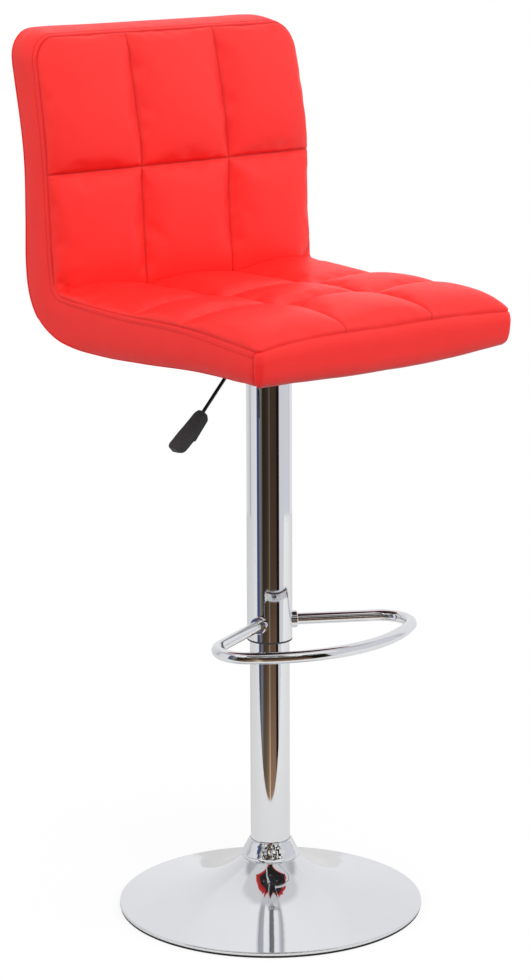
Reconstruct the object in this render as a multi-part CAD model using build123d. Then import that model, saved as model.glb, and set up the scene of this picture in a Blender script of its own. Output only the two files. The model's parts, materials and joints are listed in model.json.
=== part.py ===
from build123d import *
import os
from math import cos, radians, sin, sqrt, tan

os.makedirs("parts", exist_ok=True)

# Adjustable swivel stool, in millimetres, shown at the top of its travel.
# +Z is up, and the origin is on the floor at the middle of the base.
# The sitter faces -Y, so the lever on the sitter's right is on the -X side.

# ---------------------------------------------------------------- driving sizes

# Clearances
weld_gap = 0.05  # between pieces that are welded, pressed or glued together
running_gap = 0.08  # radial, between a shaft and its bush
free_gap = 0.3  # between pieces that pass without touching

# Base
base_radius = 192.5
base_wall = 2.0
base_slope = 11.5  # degrees, of the dished top at the rim
rim_lip = 2.5
rim_round = 2.0
base_reach = 75.0  # how far in the slope at the rim is felt
neck_radius = 35.0
neck_height = 68.0
neck_slope = 45.3  # degrees, where the dished top meets the neck
neck_reach = 33.0
neck_shoulder = 2.8  # straight part of the neck under its top
floor_ring_height = 3.0
floor_ring_width = 13.8
floor_ring_rib = 4.0
hub_wall = 4.0
hub_low = 12.0
hub_rise = 6.0  # of the hub above the neck
brace_thickness = 2.5

# Lower column and its collar
column_radius = 25.0
column_wall = 1.8
column_low = 14.0
column_taper = 0.9  # drop in radius over the taper in the hub
collar_height = 20.0
collar_wall = 1.5
bead_radius = 37.3
bead_height = 4.0
end_plate_low = 16.0
end_plate_thickness = 5.0
guide_bush_length = 73.0
guide_flange = 3.0

# Thrust bearing
rod_radius = 5.0
stud_radius = 4.0
washer_thickness = 1.2
washer_radius = 13.0
ball_radius = 1.75
ball_count = 10
ball_pitch_radius = 9.0
cage_thickness = 1.6
clip_thickness = 1.2
clip_radius = 9.0
groove_depth = 0.8
bumper_height = 13.0
bumper_radius = 15.0

# Gas spring
stroke = 210.0
cylinder_radius = 14.0
cylinder_wall = 1.5
cylinder_taper = 0.9
cylinder_taper_length = 42.0
cylinder_cap = 22.0
cylinder_foot = 16.0  # thickness of the guide in the cylinder's open end
cylinder_above_mount = 9.5
piston_height = 18.0
piston_nut_height = 4.0
pin_radius = 3.0
pin_length = 35.0

# Cover tube, with the footrest
mount_height = 697.5  # underside of the seat's lever channel, stool fully raised
cover_radius = 28.5
cover_wall = 1.5
cover_low = 352.0
cover_cap_thickness = 3.3
cover_foot = 2.5
cover_sleeve = 28.0
socket_radius = 20.0
socket_low_drop = 21.5
socket_high_rise = 6.5
socket_flange_radius = 24.0
socket_flange = 3.5

# Footrest
footrest_rise = 22.0  # tube centre above the lower end of the cover tube
footrest_turn = -7.0  # degrees that the footrest is turned about the column
footrest_tube_radius = 7.3
footrest_wall = 1.5
footrest_leg_angle = 27.5  # degrees forward of sideways
footrest_corner_radius = 38.0
footrest_front_radius = 198.0
footrest_reach = 169.5  # tube centre at the front
ferrule_radius = 11.0
ferrule_length = 6.0

# Seat mechanism
plate_side = 180.0
plate_thickness = 2.5
plate_corner = 8.0
bolt_spacing = 145.0
bolt_radius = 3.0
bolt_head_radius = 5.5
bolt_head_height = 4.0
bolt_washer_radius = 6.5
bolt_washer_thickness = 1.2
nut_flange_radius = 9.5
nut_flange = 1.2
nut_barrel_radius = 4.4
channel_width = 60.0
channel_length = 100.0
channel_wall = 2.5
channel_height = 26.0

# Lever
pivot_offset = 30.0
pivot_rise = 18.5  # above the channel's underside
pivot_radius = 2.5
pivot_head_radius = 4.5
pivot_head = 1.5
boss_radius = 5.0
boss_length = 18.0
lever_radius = 2.2
lever_inner_reach = 10.0
lever_knee = 48.6
lever_knee_radius = 12.0
lever_drop_angle = 45.5  # degrees below level
lever_visible_drop = 62.0  # from the lever's level part down to the grip
lever_in_grip = 22.0
grip_length = 62.0
grip_curve_radius = 400.0
grip_width = 24.5  # across the rounded end
grip_neck_width = 17.0
grip_above = 3.8  # of the rod's line, on the flat upper face
grip_below = 6.8  # of the rod's line, along the thick part
grip_tip_below = 4.8
grip_step = 0.6  # share of the length where the thick part ends
grip_chamfer = 5.0
grip_tip_round = 9.0
grip_side_round = 20.0
grip_neck_round = 4.0
pin_to_lever = 0.2

# Seat shell and padding
cover_fabric = 1.2
seat_width = 435.0  # across the middle of the back, the widest place
front_narrowing = 11.0  # of the width at the seat's front corners
crease_narrowing = 6.0  # where the seat meets the back
head_narrowing = 17.0  # at the top of the back
waist_height = 205.0  # of the widest line above the seat's underside
seat_front = 208.5
seat_thickness = 80.5
seat_front_height = 63.5
quilt_seam = 72.0  # from the middle to each of the two long quilting seams
quilt_front_seam = 91.0  # in front of the column, the seat's first cross seam
quilt_rear_seam = 6.0  # behind the column, the second
quilt_height = 63.5  # of the seat's quilting seams above its underside
quilt_rise = 15.0  # of the seat's pillows above those seams
quilt_rear_rise = 7.0
quilt_front_drop = 3.5  # from the seams to the front edge
back_quilt_height = 210.0  # of the back's cross seam above the seat's underside
back_quilt_depth = 151.0
back_quilt_rise = 13.0
back_quilt_dip = 9.0  # of the back's two long seams
front_lip = 56.0  # length of the rolled lip under the front edge
front_sag = 9.0
corner_lift = 3.5  # of the side faces' lower edges
side_tuck = 24.0  # width of the part that slopes up to those edges
under_sag = 1.0
rear_foot = 202.0
shell_bend = 85.0
lean_start = 235.0  # above the seat's underside
lean_rear = 199.0
top_rear = 235.0
back_height = 382.0
top_front = 169.0
crease_depth = 147.0
crease_height = 63.5
back_front_depth = 133.0  # front of the back where it starts to lean
front_round = 21.0
top_front_round = 16.0
top_rear_round = 28.0
crease_round = 9.0
lip_round = 8.0
lip_bend = 60.0
rear_lean_bend = 90.0
back_bend = 160.0
back_seam_bend = 120.0
panel_drop = 26.0  # of the front panel's lower edge behind the seat's front
panel_seam = 6.0  # of the front panel's top seam above the side seam's front end
overshoot = 20.0  # of the cutting blocks past the shell
back_corner = 38.0
plan_corner = 5.0
seam_front_height = 33.0  # side seam above the seat's underside, at the front
seam_slope = 0.0756
seat_crown = 35.5
seat_crown_flat = 150.0
back_seam_depth = 148.0
back_seam_lean_depth = 157.5
back_seam_top_depth = 188.0
back_crown = 17.0
back_crown_flat = 150.0
board_thickness = 12.0
board_front = 188.0
board_inset = 25.0
board_top_drop = 26.0
rear_pad = 8.0
dust_margin = 30.0

# ---------------------------------------------------------------- derived sizes

rim_height = floor_ring_height + rim_lip + 1.5
neck_underside = neck_height - base_wall
shoulder_height = neck_height - neck_shoulder
hub_radius = column_radius + hub_wall
hub_high = neck_height + hub_rise
taper_top = hub_high + 2.0
collar_top = neck_height + collar_height

bearing_low = end_plate_low + end_plate_thickness
ball_height = bearing_low + washer_thickness + ball_radius + weld_gap
bearing_high = ball_height + ball_radius + weld_gap
rod_low = bearing_high + washer_thickness
bumper_high = rod_low + bumper_height

socket_low = mount_height - socket_low_drop
socket_high = mount_height + socket_high_rise
column_high = socket_low - stroke - guide_flange - 5.0
column_bore = column_radius - column_wall

cylinder_high = mount_height + cylinder_above_mount
cylinder_low = bumper_high + stroke + 2.0
cylinder_bore = cylinder_radius - cylinder_wall
taper_start = cylinder_high - cylinder_taper_length
piston_low = cylinder_low + cylinder_foot + 3.0
piston_high = piston_low + piston_height
rod_high = piston_high + piston_nut_height + 2.0

cover_bore = cover_radius - cover_wall
cover_high = mount_height - 0.2
footrest_height = cover_low + footrest_rise

plate_low = mount_height + channel_height
seat_low = plate_low + plate_thickness
board_low = seat_low + cover_fabric
board_high = board_low + board_thickness
bolt_places = [(x, y) for x in (-1, 1) for y in (-1, 1)]
bolt_places = [(x * bolt_spacing / 2, y * bolt_spacing / 2) for x, y in bolt_places]

pivot_height = mount_height + pivot_rise
pin_high = pivot_height - lever_radius - pin_to_lever

front_width = seat_width - front_narrowing
crease_width = seat_width - crease_narrowing
head_width = seat_width - head_narrowing
back_top = seat_low + back_height
seat_top = seat_low + seat_thickness


# ---------------------------------------------------------------- helpers


def disc(radius, low, high):
    """Round disc about the column's axis, between two heights."""
    return Pos(0, 0, (low + high) / 2) * Cylinder(radius, high - low)


def ring(inner, outer, low, high):
    """Plain ring about the column's axis, between two heights."""
    return disc(outer, low, high) - disc(inner, low - 1, high + 1)


def turned(edges):
    """Solid turned about the column's axis from a closed outline of (radius, 0, height)."""
    return revolve(make_face(edges), Axis.Z)


def turned_points(points):
    """Solid turned about the column's axis from (radius, height) corners."""
    return turned(Polyline(*[(radius, 0, height) for radius, height in points], close=True))


def block(low, high):
    """Box between two opposite corners."""
    middle = [(a + b) / 2 for a, b in zip(low, high)]
    return Pos(*middle) * Box(*[b - a for a, b in zip(low, high)])


def outline(corners):
    """Flat face from (x, y, corner radius) points, in order."""
    points = [(x, y) for x, y, _ in corners]
    radii = [radius for _, _, radius in corners]
    return make_face(FilletPolyline(*points, radius=radii, close=True))


def across_bar(radius, x, z, half_length):
    """Round bar along Y, through the point (x, z)."""
    return Pos(x, 0, z) * Rot(90, 0, 0) * Cylinder(radius, 2 * half_length)


def save(name, *solids):
    """Write one node; a node of several pieces keeps them as separate solids."""
    shape = solids[0] if len(solids) == 1 else Compound(children=list(solids))
    export_step(shape, f"parts/{name}.step")


# ---------------------------------------------------------------- base


def dish_sweep(rim, rim_level, neck, neck_level):
    """Control points of the dished top's outline, from the rim up to the neck."""
    return [
        (rim, 0, rim_level),
        (rim - base_reach, 0, rim_level + base_reach * tan(radians(base_slope))),
        (neck + neck_reach, 0, neck_level - neck_reach * tan(radians(neck_slope))),
        (neck, 0, neck_level),
    ]


def dish_top():
    """Outline of the dished top's upper face."""
    return dish_sweep(base_radius - rim_round, rim_height, neck_radius, shoulder_height)


def dish_under():
    """Outline of the dished top's underside, a wall's thickness below."""
    rim_level = rim_height - base_wall / cos(radians(base_slope))
    step = base_wall * tan(radians(neck_slope)) - base_wall / cos(radians(neck_slope))
    return dish_sweep(base_radius - base_wall, rim_level, neck_radius - base_wall, shoulder_height + step)


def on_sweep(points, known, value, wanted):
    """One coordinate of the place on a sweep where another coordinate has a value."""
    low, high = 0.0, 1.0
    rising = points[3][known] > points[0][known]
    for _ in range(40):
        t = (low + high) / 2
        weights = ((1 - t) ** 3, 3 * (1 - t) ** 2 * t, 3 * (1 - t) * t**2, t**3)
        place = [sum(w * p[k] for w, p in zip(weights, points)) for k in range(3)]
        if (place[known] < value) == rising:
            low = t
        else:
            high = t
    return place[wanted]


def base_shell():
    """Spun steel trumpet: a dished disc that sweeps up into a neck."""
    lip_high = floor_ring_height + rim_lip
    inner_rim = base_radius - base_wall
    inner_neck = neck_radius - base_wall
    hub_hole = hub_radius + weld_gap
    top = dish_top()
    under = dish_under()
    edges = [
        Line((base_radius, 0, floor_ring_height), (base_radius, 0, lip_high)),
        Bezier(
            (base_radius, 0, lip_high),
            (base_radius, 0, rim_height - 0.1),
            top[0],
        ),
        Bezier(*top),
        Line(top[3], (neck_radius, 0, neck_height)),
        Line((neck_radius, 0, neck_height), (hub_hole, 0, neck_height)),
        Line((hub_hole, 0, neck_height), (hub_hole, 0, neck_underside)),
        Line((hub_hole, 0, neck_underside), (inner_neck, 0, neck_underside)),
        Line((inner_neck, 0, neck_underside), under[3]),
        Bezier(*reversed(under)),
        Line(under[0], (inner_rim, 0, floor_ring_height)),
        Line((inner_rim, 0, floor_ring_height), (base_radius, 0, floor_ring_height)),
    ]
    return turned(edges)


def base_ring():
    """Rubber ring under the rim, with a rib that centres it under the dish."""
    outer = base_radius - 0.7
    inner = outer - floor_ring_width
    rib = inner + floor_ring_rib
    rib_high = on_sweep(dish_under(), 0, rib, 2) - weld_gap
    return turned_points(
        [
            (inner, 0),
            (outer, 0),
            (outer, floor_ring_height),
            (rib, floor_ring_height),
            (rib, rib_high),
            (inner, rib_high),
        ]
    )


def taper_radius(height):
    """Outer radius of the lower column where it narrows into the hub."""
    share = min(1.0, max(0.0, (taper_top - height) / (taper_top - column_low)))
    return column_radius - column_taper * share


def base_hub():
    """Steel hub welded in the neck, bored to the column's taper."""
    return turned_points(
        [
            (taper_radius(hub_low) + weld_gap, hub_low),
            (hub_radius, hub_low),
            (hub_radius, hub_high),
            (taper_radius(hub_high) + weld_gap, hub_high),
            (taper_radius(column_low) + weld_gap, column_low),
        ]
    )


def hub_brace():
    """Flat disc that ties the foot of the hub to the underside of the dish."""
    low = column_low
    high = low + brace_thickness
    outer = on_sweep(dish_under(), 2, high + weld_gap, 0)
    return ring(hub_radius + weld_gap, outer, low, high)


def column_collar():
    """Turned collar with a bead, sitting on the neck around the column."""
    inner = column_radius + free_gap
    bead_low = neck_height - 2.5
    bead_high = bead_low + bead_height
    skirt = neck_radius + free_gap
    return turned_points(
        [
            (skirt, bead_low),
            (bead_radius - 0.7, bead_low),
            (bead_radius, bead_low + 0.8),
            (bead_radius, bead_high - 0.8),
            (bead_radius - 0.7, bead_high),
            (neck_radius + 1.0, bead_high + 0.4),
            (inner + collar_wall + 0.6, collar_top - 0.9),
            (inner + collar_wall - 0.3, collar_top),
            (inner, collar_top),
            (inner, collar_top - 2 * collar_wall),
            (neck_radius - 0.8, neck_height),
            (skirt, neck_height),
        ]
    )


# ---------------------------------------------------------------- lower column


def lower_column():
    """Plated steel tube, tapered at the foot where it is pressed into the hub."""
    return turned_points(
        [
            (taper_radius(column_low), column_low),
            (column_radius, taper_top),
            (column_radius, column_high),
            (column_bore, column_high),
            (column_bore, taper_top),
            (taper_radius(column_low) - column_wall, column_low),
        ]
    )


def column_end_plate():
    """Thick disc in the foot of the column; the piston rod turns in its hole."""
    radius = taper_radius(end_plate_low) - column_wall - weld_gap
    return ring(stud_radius + running_gap, radius, end_plate_low, bearing_low)


def column_guide_bush():
    """Plastic bush in the mouth of the column that guides the gas cylinder."""
    bore = cylinder_radius + running_gap
    return turned_points(
        [
            (bore, column_high - guide_bush_length),
            (column_bore - weld_gap, column_high - guide_bush_length),
            (column_bore - weld_gap, column_high),
            (column_radius - 0.1, column_high),
            (column_radius - 0.6, column_high + guide_flange),
            (bore, column_high + guide_flange),
        ]
    )


def thrust_washer(low):
    """Hardened washer of the thrust bearing."""
    return ring(stud_radius + 0.4, washer_radius, low, low + washer_thickness)


def thrust_balls():
    """Ring of loose steel balls."""
    first = Pos(ball_pitch_radius, 0, ball_height) * Sphere(ball_radius)
    return [first.rotate(Axis.Z, 360 / ball_count * turn) for turn in range(ball_count)]


def ball_cage():
    """Flat cage with a pocket for each ball."""
    half = ball_radius + 0.75
    low = ball_height - cage_thickness / 2
    cage = ring(ball_pitch_radius - half, ball_pitch_radius + half, low, low + cage_thickness)
    for turn in range(ball_count):
        pocket = Pos(ball_pitch_radius, 0, ball_height) * Cylinder(ball_radius + 0.1, 2 * cage_thickness)
        cage -= pocket.rotate(Axis.Z, 360 / ball_count * turn)
    return cage


# ---------------------------------------------------------------- gas spring


def piston_rod():
    """Rod with a grooved stud at the foot and a stud for the piston at the head."""
    groove_high = end_plate_low
    groove_low = groove_high - clip_thickness - 0.2
    return turned_points(
        [
            (0, groove_low - 2.4),
            (stud_radius, groove_low - 2.4),
            (stud_radius, groove_low),
            (stud_radius - groove_depth, groove_low),
            (stud_radius - groove_depth, groove_high),
            (stud_radius, groove_high),
            (stud_radius, rod_low),
            (rod_radius, rod_low),
            (rod_radius, piston_low),
            (stud_radius, piston_low),
            (stud_radius, rod_high),
            (0, rod_high),
        ]
    )


def rod_clip():
    """Spring clip in the rod's groove, under the end plate."""
    low = end_plate_low - clip_thickness - 0.1
    clip = ring(stud_radius - groove_depth + weld_gap, clip_radius, low, low + clip_thickness)
    mouth = 2 * (stud_radius - groove_depth) * 0.8
    return clip - block((-mouth / 2, 0, low - 1), (mouth / 2, clip_radius + 1, end_plate_low))


def rubber_bumper():
    """Rubber buffer around the rod that stops the cylinder at the bottom."""
    return ring(rod_radius + 0.1, bumper_radius, rod_low, bumper_high)


def piston():
    """Piston with a groove for its seal."""
    radius = cylinder_bore - running_gap
    seal_low = piston_low + piston_height * 0.4
    seal_high = piston_low + piston_height * 0.6
    groove = ring(radius - 2.0, radius + 1.0, seal_low, seal_high)
    return ring(stud_radius + weld_gap, radius, piston_low, piston_high) - groove


def piston_seal():
    """Rubber ring in the piston's groove."""
    radius = cylinder_bore - running_gap
    low = piston_low + piston_height * 0.4 + weld_gap
    high = piston_low + piston_height * 0.6 - weld_gap
    return ring(radius - 2.0 + weld_gap, radius, low, high)


def piston_nut():
    """Hexagon nut that holds the piston on its stud."""
    nut = extrude(RegularPolygon(stud_radius * 1.9, 6), piston_nut_height)
    nut = Pos(0, 0, piston_high) * nut
    return nut - disc(stud_radius + weld_gap, piston_high - 1, rod_high + 1)


def cylinder_outer(height):
    """Outer radius of the gas cylinder, which narrows into the seat's socket."""
    share = min(1.0, max(0.0, (height - taper_start) / cylinder_taper_length))
    return cylinder_radius - cylinder_taper * share


def gas_cylinder():
    """Closed steel cylinder with a tapered head and a hole for the release pin."""
    ceiling = cylinder_high - cylinder_cap
    pin_bore = pin_radius + running_gap
    return turned_points(
        [
            (cylinder_bore, cylinder_low),
            (cylinder_radius, cylinder_low),
            (cylinder_radius, taper_start),
            (cylinder_outer(cylinder_high), cylinder_high),
            (pin_bore, cylinder_high),
            (pin_bore, ceiling),
            (cylinder_bore, ceiling),
        ]
    )


def cylinder_guide():
    """Guide and seal pack in the open end of the cylinder, around the rod."""
    bore = rod_radius + running_gap
    return ring(bore, cylinder_bore - weld_gap, cylinder_low, cylinder_low + cylinder_foot)


def release_pin():
    """Valve pin with a domed head, which the lever pushes down."""
    dome = pin_high - pin_radius
    return disc(pin_radius, pin_high - pin_length, dome) + Pos(0, 0, dome) * Sphere(pin_radius)


# ---------------------------------------------------------------- cover tube and footrest


def cover_tube():
    """Plated tube that hangs from the seat and slides over the lower column."""
    return ring(cover_bore, cover_radius, cover_low, cover_high)


def cover_tube_cap():
    """Steel disc in the top of the cover tube, clamped under the lever channel."""
    low = cover_high - cover_cap_thickness
    return ring(socket_radius + 0.1, cover_bore - weld_gap, low, cover_high)


def cover_tube_bush():
    """Plastic bush in the foot of the cover tube, with a lip that shows as a ring."""
    bore = column_radius + running_gap
    return turned_points(
        [
            (bore, cover_low - cover_foot),
            (cover_radius - 0.5, cover_low - cover_foot),
            (cover_radius, cover_low - cover_foot + 0.5),
            (cover_radius, cover_low),
            (cover_bore - weld_gap, cover_low),
            (cover_bore - weld_gap, cover_low + cover_sleeve),
            (bore, cover_low + cover_sleeve),
        ]
    )


def taper_socket():
    """Steel socket on the cylinder's tapered head, flanged under the tube's cap."""
    flange_high = cover_high - cover_cap_thickness - weld_gap
    flange_low = flange_high - socket_flange
    return turned_points(
        [
            (cylinder_outer(socket_low) + weld_gap, socket_low),
            (socket_radius, socket_low),
            (socket_radius, flange_low),
            (socket_flange_radius, flange_low),
            (socket_flange_radius, flange_high),
            (socket_radius, flange_high),
            (socket_radius, socket_high),
            (cylinder_outer(socket_high) + weld_gap, socket_high),
        ]
    )


def leg_direction(side):
    """Direction of a footrest leg, outwards from the column, before the footrest is turned."""
    angle = radians(footrest_leg_angle)
    return Vector(side * cos(angle), -sin(angle), 0)


def footrest_turned(shape):
    """The footrest's piece, turned about the column."""
    return shape.rotate(Axis.Z, footrest_turn)


def footrest_path():
    """Centre line: straight leg, tight corner, wide front arc, corner and leg."""
    level = Vector(0, 0, footrest_height)
    arc_centre = Vector(0, footrest_front_radius - footrest_reach, 0)
    leg = leg_direction(1)
    inward = Vector(leg.Y, -leg.X, 0)
    offset_start = inward * footrest_corner_radius - arc_centre
    along = offset_start.dot(leg)
    span = footrest_front_radius - footrest_corner_radius
    leg_run = -along + sqrt(along**2 - offset_start.length**2 + span**2)
    corner_centre = leg * leg_run + inward * footrest_corner_radius
    outward = (corner_centre - arc_centre).normalized()
    leg_end = leg * leg_run
    corner_end = arc_centre + outward * footrest_front_radius
    bisector = ((leg_end - corner_centre) + (corner_end - corner_centre)).normalized()
    corner_middle = corner_centre + bisector * footrest_corner_radius

    def place(point, side):
        return Vector(side * point.X, point.Y, 0) + level

    start = leg * (cover_bore * 0.7)
    return [
        Line(place(start, 1), place(leg_end, 1)),
        ThreePointArc(place(leg_end, 1), place(corner_middle, 1), place(corner_end, 1)),
        ThreePointArc(
            place(corner_end, 1),
            Vector(0, -footrest_reach, 0) + level,
            place(corner_end, -1),
        ),
        ThreePointArc(place(corner_end, -1), place(corner_middle, -1), place(leg_end, -1)),
        Line(place(leg_end, -1), place(start, -1)),
    ]


def footrest_tube():
    """Bent D-shaped tube, notched to the cover tube at both ends."""
    path = Wire([line.edge() for line in footrest_path()])
    start = Plane(origin=path @ 0, z_dir=path % 0)
    bore = footrest_tube_radius - footrest_wall
    tube = sweep(start * Circle(footrest_tube_radius), path)
    tube -= sweep(start * Circle(bore), path)
    reach = 2 * footrest_tube_radius
    tube -= disc(cover_radius + weld_gap, footrest_height - reach, footrest_height + reach)
    return footrest_turned(tube)


def footrest_ferrules():
    """Two short collars that dress the welds of the footrest's legs."""
    reach = 2 * ferrule_radius
    notch = disc(cover_radius + weld_gap, footrest_height - reach, footrest_height + reach)
    end = cover_radius + ferrule_length
    ferrules = []
    for side in (-1, 1):
        seat = Plane(origin=(0, 0, footrest_height), z_dir=leg_direction(side))
        ferrule = extrude(seat * Circle(ferrule_radius), end)
        ferrule = chamfer(ferrule.faces().sort_by(lambda face: face.center().length)[-1].edges(), 1.0)
        ferrule -= extrude(seat * Circle(footrest_tube_radius + weld_gap), end + 1)
        ferrule = (ferrule - notch).solids().sort_by(lambda solid: solid.volume)[-1]
        ferrules.append(footrest_turned(ferrule))
    return ferrules


# ---------------------------------------------------------------- seat mechanism


def seat_plate():
    """Square steel plate with a bolt hole in each corner."""
    plate = extrude(RectangleRounded(plate_side, plate_side, plate_corner), plate_thickness)
    plate = Pos(0, 0, plate_low) * plate
    for x, y in bolt_places:
        plate -= Pos(x, y, plate_low) * Cylinder(bolt_radius + 0.3, 4 * plate_thickness)
    return plate


def lever_channel():
    """Folded steel channel under the plate that carries the socket and the lever."""
    half_length = channel_length / 2
    half = channel_width / 2
    inner = half - channel_wall
    channel = block((-half_length, -half, mount_height), (half_length, half, plate_low))
    inside_low = (-half_length - 1, -inner, mount_height + channel_wall)
    inside_high = (half_length + 1, inner, plate_low + 1)
    channel -= block(inside_low, inside_high)
    channel -= disc(socket_radius + weld_gap, mount_height - 1, mount_height + channel_wall + 1)
    return channel - across_bar(pivot_radius + weld_gap, -pivot_offset, pivot_height, half + 1)


def lever_pivot_pin():
    """Headed pin across the channel that the lever rocks on."""
    half = channel_width / 2 + 0.2
    pin = across_bar(pivot_radius, -pivot_offset, pivot_height, half + pivot_head)
    for side in (-1, 1):
        middle = side * (half + pivot_head / 2)
        head = Rot(90, 0, 0) * Cylinder(pivot_head_radius, pivot_head)
        pin += Pos(-pivot_offset, middle, pivot_height) * head
    return pin


def seat_bolts():
    """Four hexagon bolts up through the plate into the board."""
    head_low = plate_low - bolt_washer_thickness - bolt_head_height
    bolts = []
    for x, y in bolt_places:
        head = extrude(RegularPolygon(bolt_head_radius, 6), bolt_head_height)
        shank_high = board_high + nut_flange - 0.2
        shank = Pos(0, 0, shank_high / 2 - head_low / 2) * Cylinder(bolt_radius, shank_high - head_low)
        bolts.append(Pos(x, y, head_low) * (head + shank))
    return bolts


def seat_washers():
    """Four plain washers under the bolt heads."""
    washer = Cylinder(bolt_washer_radius, bolt_washer_thickness)
    washer -= Cylinder(bolt_radius + 0.2, 2 * bolt_washer_thickness)
    middle = plate_low - bolt_washer_thickness / 2
    return [Pos(x, y, middle) * washer for x, y in bolt_places]


def seat_tee_nuts():
    """Four flanged nuts let into the board from above."""
    depth = board_thickness - 2.0
    nuts = []
    for x, y in bolt_places:
        flange = Pos(0, 0, nut_flange / 2) * Cylinder(nut_flange_radius, nut_flange)
        barrel = Pos(0, 0, -depth / 2) * Cylinder(nut_barrel_radius, depth)
        nut = flange + barrel - Cylinder(bolt_radius + weld_gap, 4 * board_thickness)
        nuts.append(Pos(x, y, board_high) * nut)
    return nuts


# ---------------------------------------------------------------- lever


def lever_rod():
    """Bent rod with a cross boss, level over the pin and angled down to the grip."""
    drop = radians(lever_drop_angle)
    length = lever_visible_drop / sin(drop) + lever_in_grip
    knee = Vector(-lever_knee, 0, pivot_height)
    end = knee + Vector(-cos(drop), 0, -sin(drop)) * length
    start = Vector(lever_inner_reach, 0, pivot_height)
    path = FilletPolyline(start, knee, end, radius=[lever_knee_radius])
    rod = sweep(Plane(origin=start, z_dir=(-1, 0, 0)) * Circle(lever_radius), path)
    rod += across_bar(boss_radius, -pivot_offset, pivot_height, boss_length / 2)
    return rod - across_bar(pivot_radius + running_gap / 2, -pivot_offset, pivot_height, boss_length)


def lever_grip():
    """Flat curved paddle moulded on the end of the rod, thicker under its inner part."""
    drop = radians(lever_drop_angle)
    direction = Vector(-cos(drop), 0, -sin(drop))
    knee = Vector(-lever_knee, 0, pivot_height)
    root = knee + direction * (lever_visible_drop / sin(drop))
    upward = Vector(-sin(drop), 0, cos(drop))
    centre = root + upward * grip_curve_radius
    sweep_angle = grip_length / grip_curve_radius

    def on_band(share, below):
        """Point at a share of the grip's length, a distance under the rod's line."""
        turn = share * sweep_angle
        return centre + (-upward * cos(turn) + direction * sin(turn)) * (grip_curve_radius + below)

    upper = ThreePointArc(on_band(1, -grip_above), on_band(0.5, -grip_above), on_band(0, -grip_above))
    lower = Polyline(
        on_band(0, -grip_above),
        on_band(0, grip_below - 1.5),
        on_band(0.12, grip_below),
        on_band(grip_step, grip_below),
        on_band(grip_step + 0.05, grip_tip_below),
        on_band(0.95, grip_tip_below),
        on_band(1, grip_tip_below - 2.0),
        on_band(1, -grip_above),
    )
    band = extrude(make_face([lower, upper]), grip_width / 2, both=True)
    chord = on_band(1, 0) - on_band(0, 0)
    lay = Plane(origin=on_band(0, 0), x_dir=chord, z_dir=Vector(0, 1, 0).cross(chord))
    half = grip_width / 2
    neck = grip_neck_width / 2
    reach = chord.length
    plan = outline(
        [
            (-1.0, -neck + grip_chamfer, 0),
            (grip_chamfer, -neck, grip_neck_round),
            (reach * grip_step, -half, grip_side_round),
            (reach, -half, grip_tip_round),
            (reach, half, grip_tip_round),
            (reach * grip_step, half, grip_side_round),
            (grip_chamfer, neck, grip_neck_round),
            (-1.0, neck - grip_chamfer, 0),
        ]
    )
    grip = band & extrude(lay * plan, 2 * grip_width, both=True)
    bore_start = Plane(origin=root - direction, z_dir=direction)
    return grip - extrude(bore_start * Circle(lever_radius + weld_gap), lever_in_grip + 1.2)


# ---------------------------------------------------------------- seat shell and padding


def shell_side():
    """Side outline of the padded shell at the middle of the seat, as (y, z) corners."""
    return outline(
        [
            (-seat_front + 3, seat_low - front_sag, lip_round),
            (-seat_front + front_lip, seat_low, lip_bend),
            (rear_foot + 0.6, seat_low, shell_bend),
            (lean_rear, seat_low + lean_start, rear_lean_bend),
            (top_rear, back_top - 1, top_rear_round),
            (top_front, back_top + 1, top_front_round),
            (back_front_depth, seat_low + lean_start, back_bend),
            (back_front_depth, seat_low + crease_height, crease_round),
            (0, seat_top + 2, 0),
            (-seat_front + 2 * front_round, seat_top + 2, 0),
            (-seat_front + 1, seat_low + seat_front_height, front_round),
        ]
    )


def front_face(inset):
    """Seen from the front: bowed sides and a slightly sagging lower edge."""
    foot = crease_width / 2 - inset
    waist = seat_width / 2 - inset
    head = head_width / 2 - inset
    low = seat_low + corner_lift + inset
    tuck = crease_width / 2 - side_tuck
    tuck_low = seat_low - under_sag + inset
    middle_low = seat_low - front_sag + inset
    top = back_top - inset + 1
    middle = seat_low + waist_height
    return make_face(
        [
            ThreePointArc((foot, low), (waist, middle), (head, top)),
            Line((head, top), (-head, top)),
            ThreePointArc((-head, top), (-waist, middle), (-foot, low)),
            Line((-foot, low), (-tuck, tuck_low)),
            ThreePointArc((-tuck, tuck_low), (0, middle_low), (tuck, tuck_low)),
            Line((tuck, tuck_low), (foot, low)),
        ]
    )


def plan_face(inset):
    """Seen from above: the seat widens from its front corners to the back."""
    front = front_width / 2 - inset
    crease = crease_width / 2 - inset
    waist = seat_width / 2 - inset
    near = -seat_front + inset
    far = top_rear - inset
    corner = max(plan_corner - inset, 1.0)
    return outline(
        [
            (-front, near, corner),
            (front, near, corner),
            (crease, crease_depth, 0),
            (waist, crease_depth + 20, 0),
            (waist, far, corner),
            (-waist, far, corner),
            (-waist, crease_depth + 20, 0),
            (-crease, crease_depth, 0),
        ]
    )


def shell_limits(inset):
    """Space that the shell keeps to, seen from the front and from above."""
    front = front_face(inset)
    corners = front.vertices().sort_by(Axis.Y)[-2:]
    front = fillet(corners, back_corner - inset)
    seen_from_front = extrude(Plane.XZ * front, 2 * top_rear, both=True)
    seen_from_above = extrude(plan_face(inset), back_height + 2 * overshoot)
    seen_from_above = Pos(0, 0, seat_low - overshoot) * seen_from_above
    return seen_from_front & seen_from_above


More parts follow.
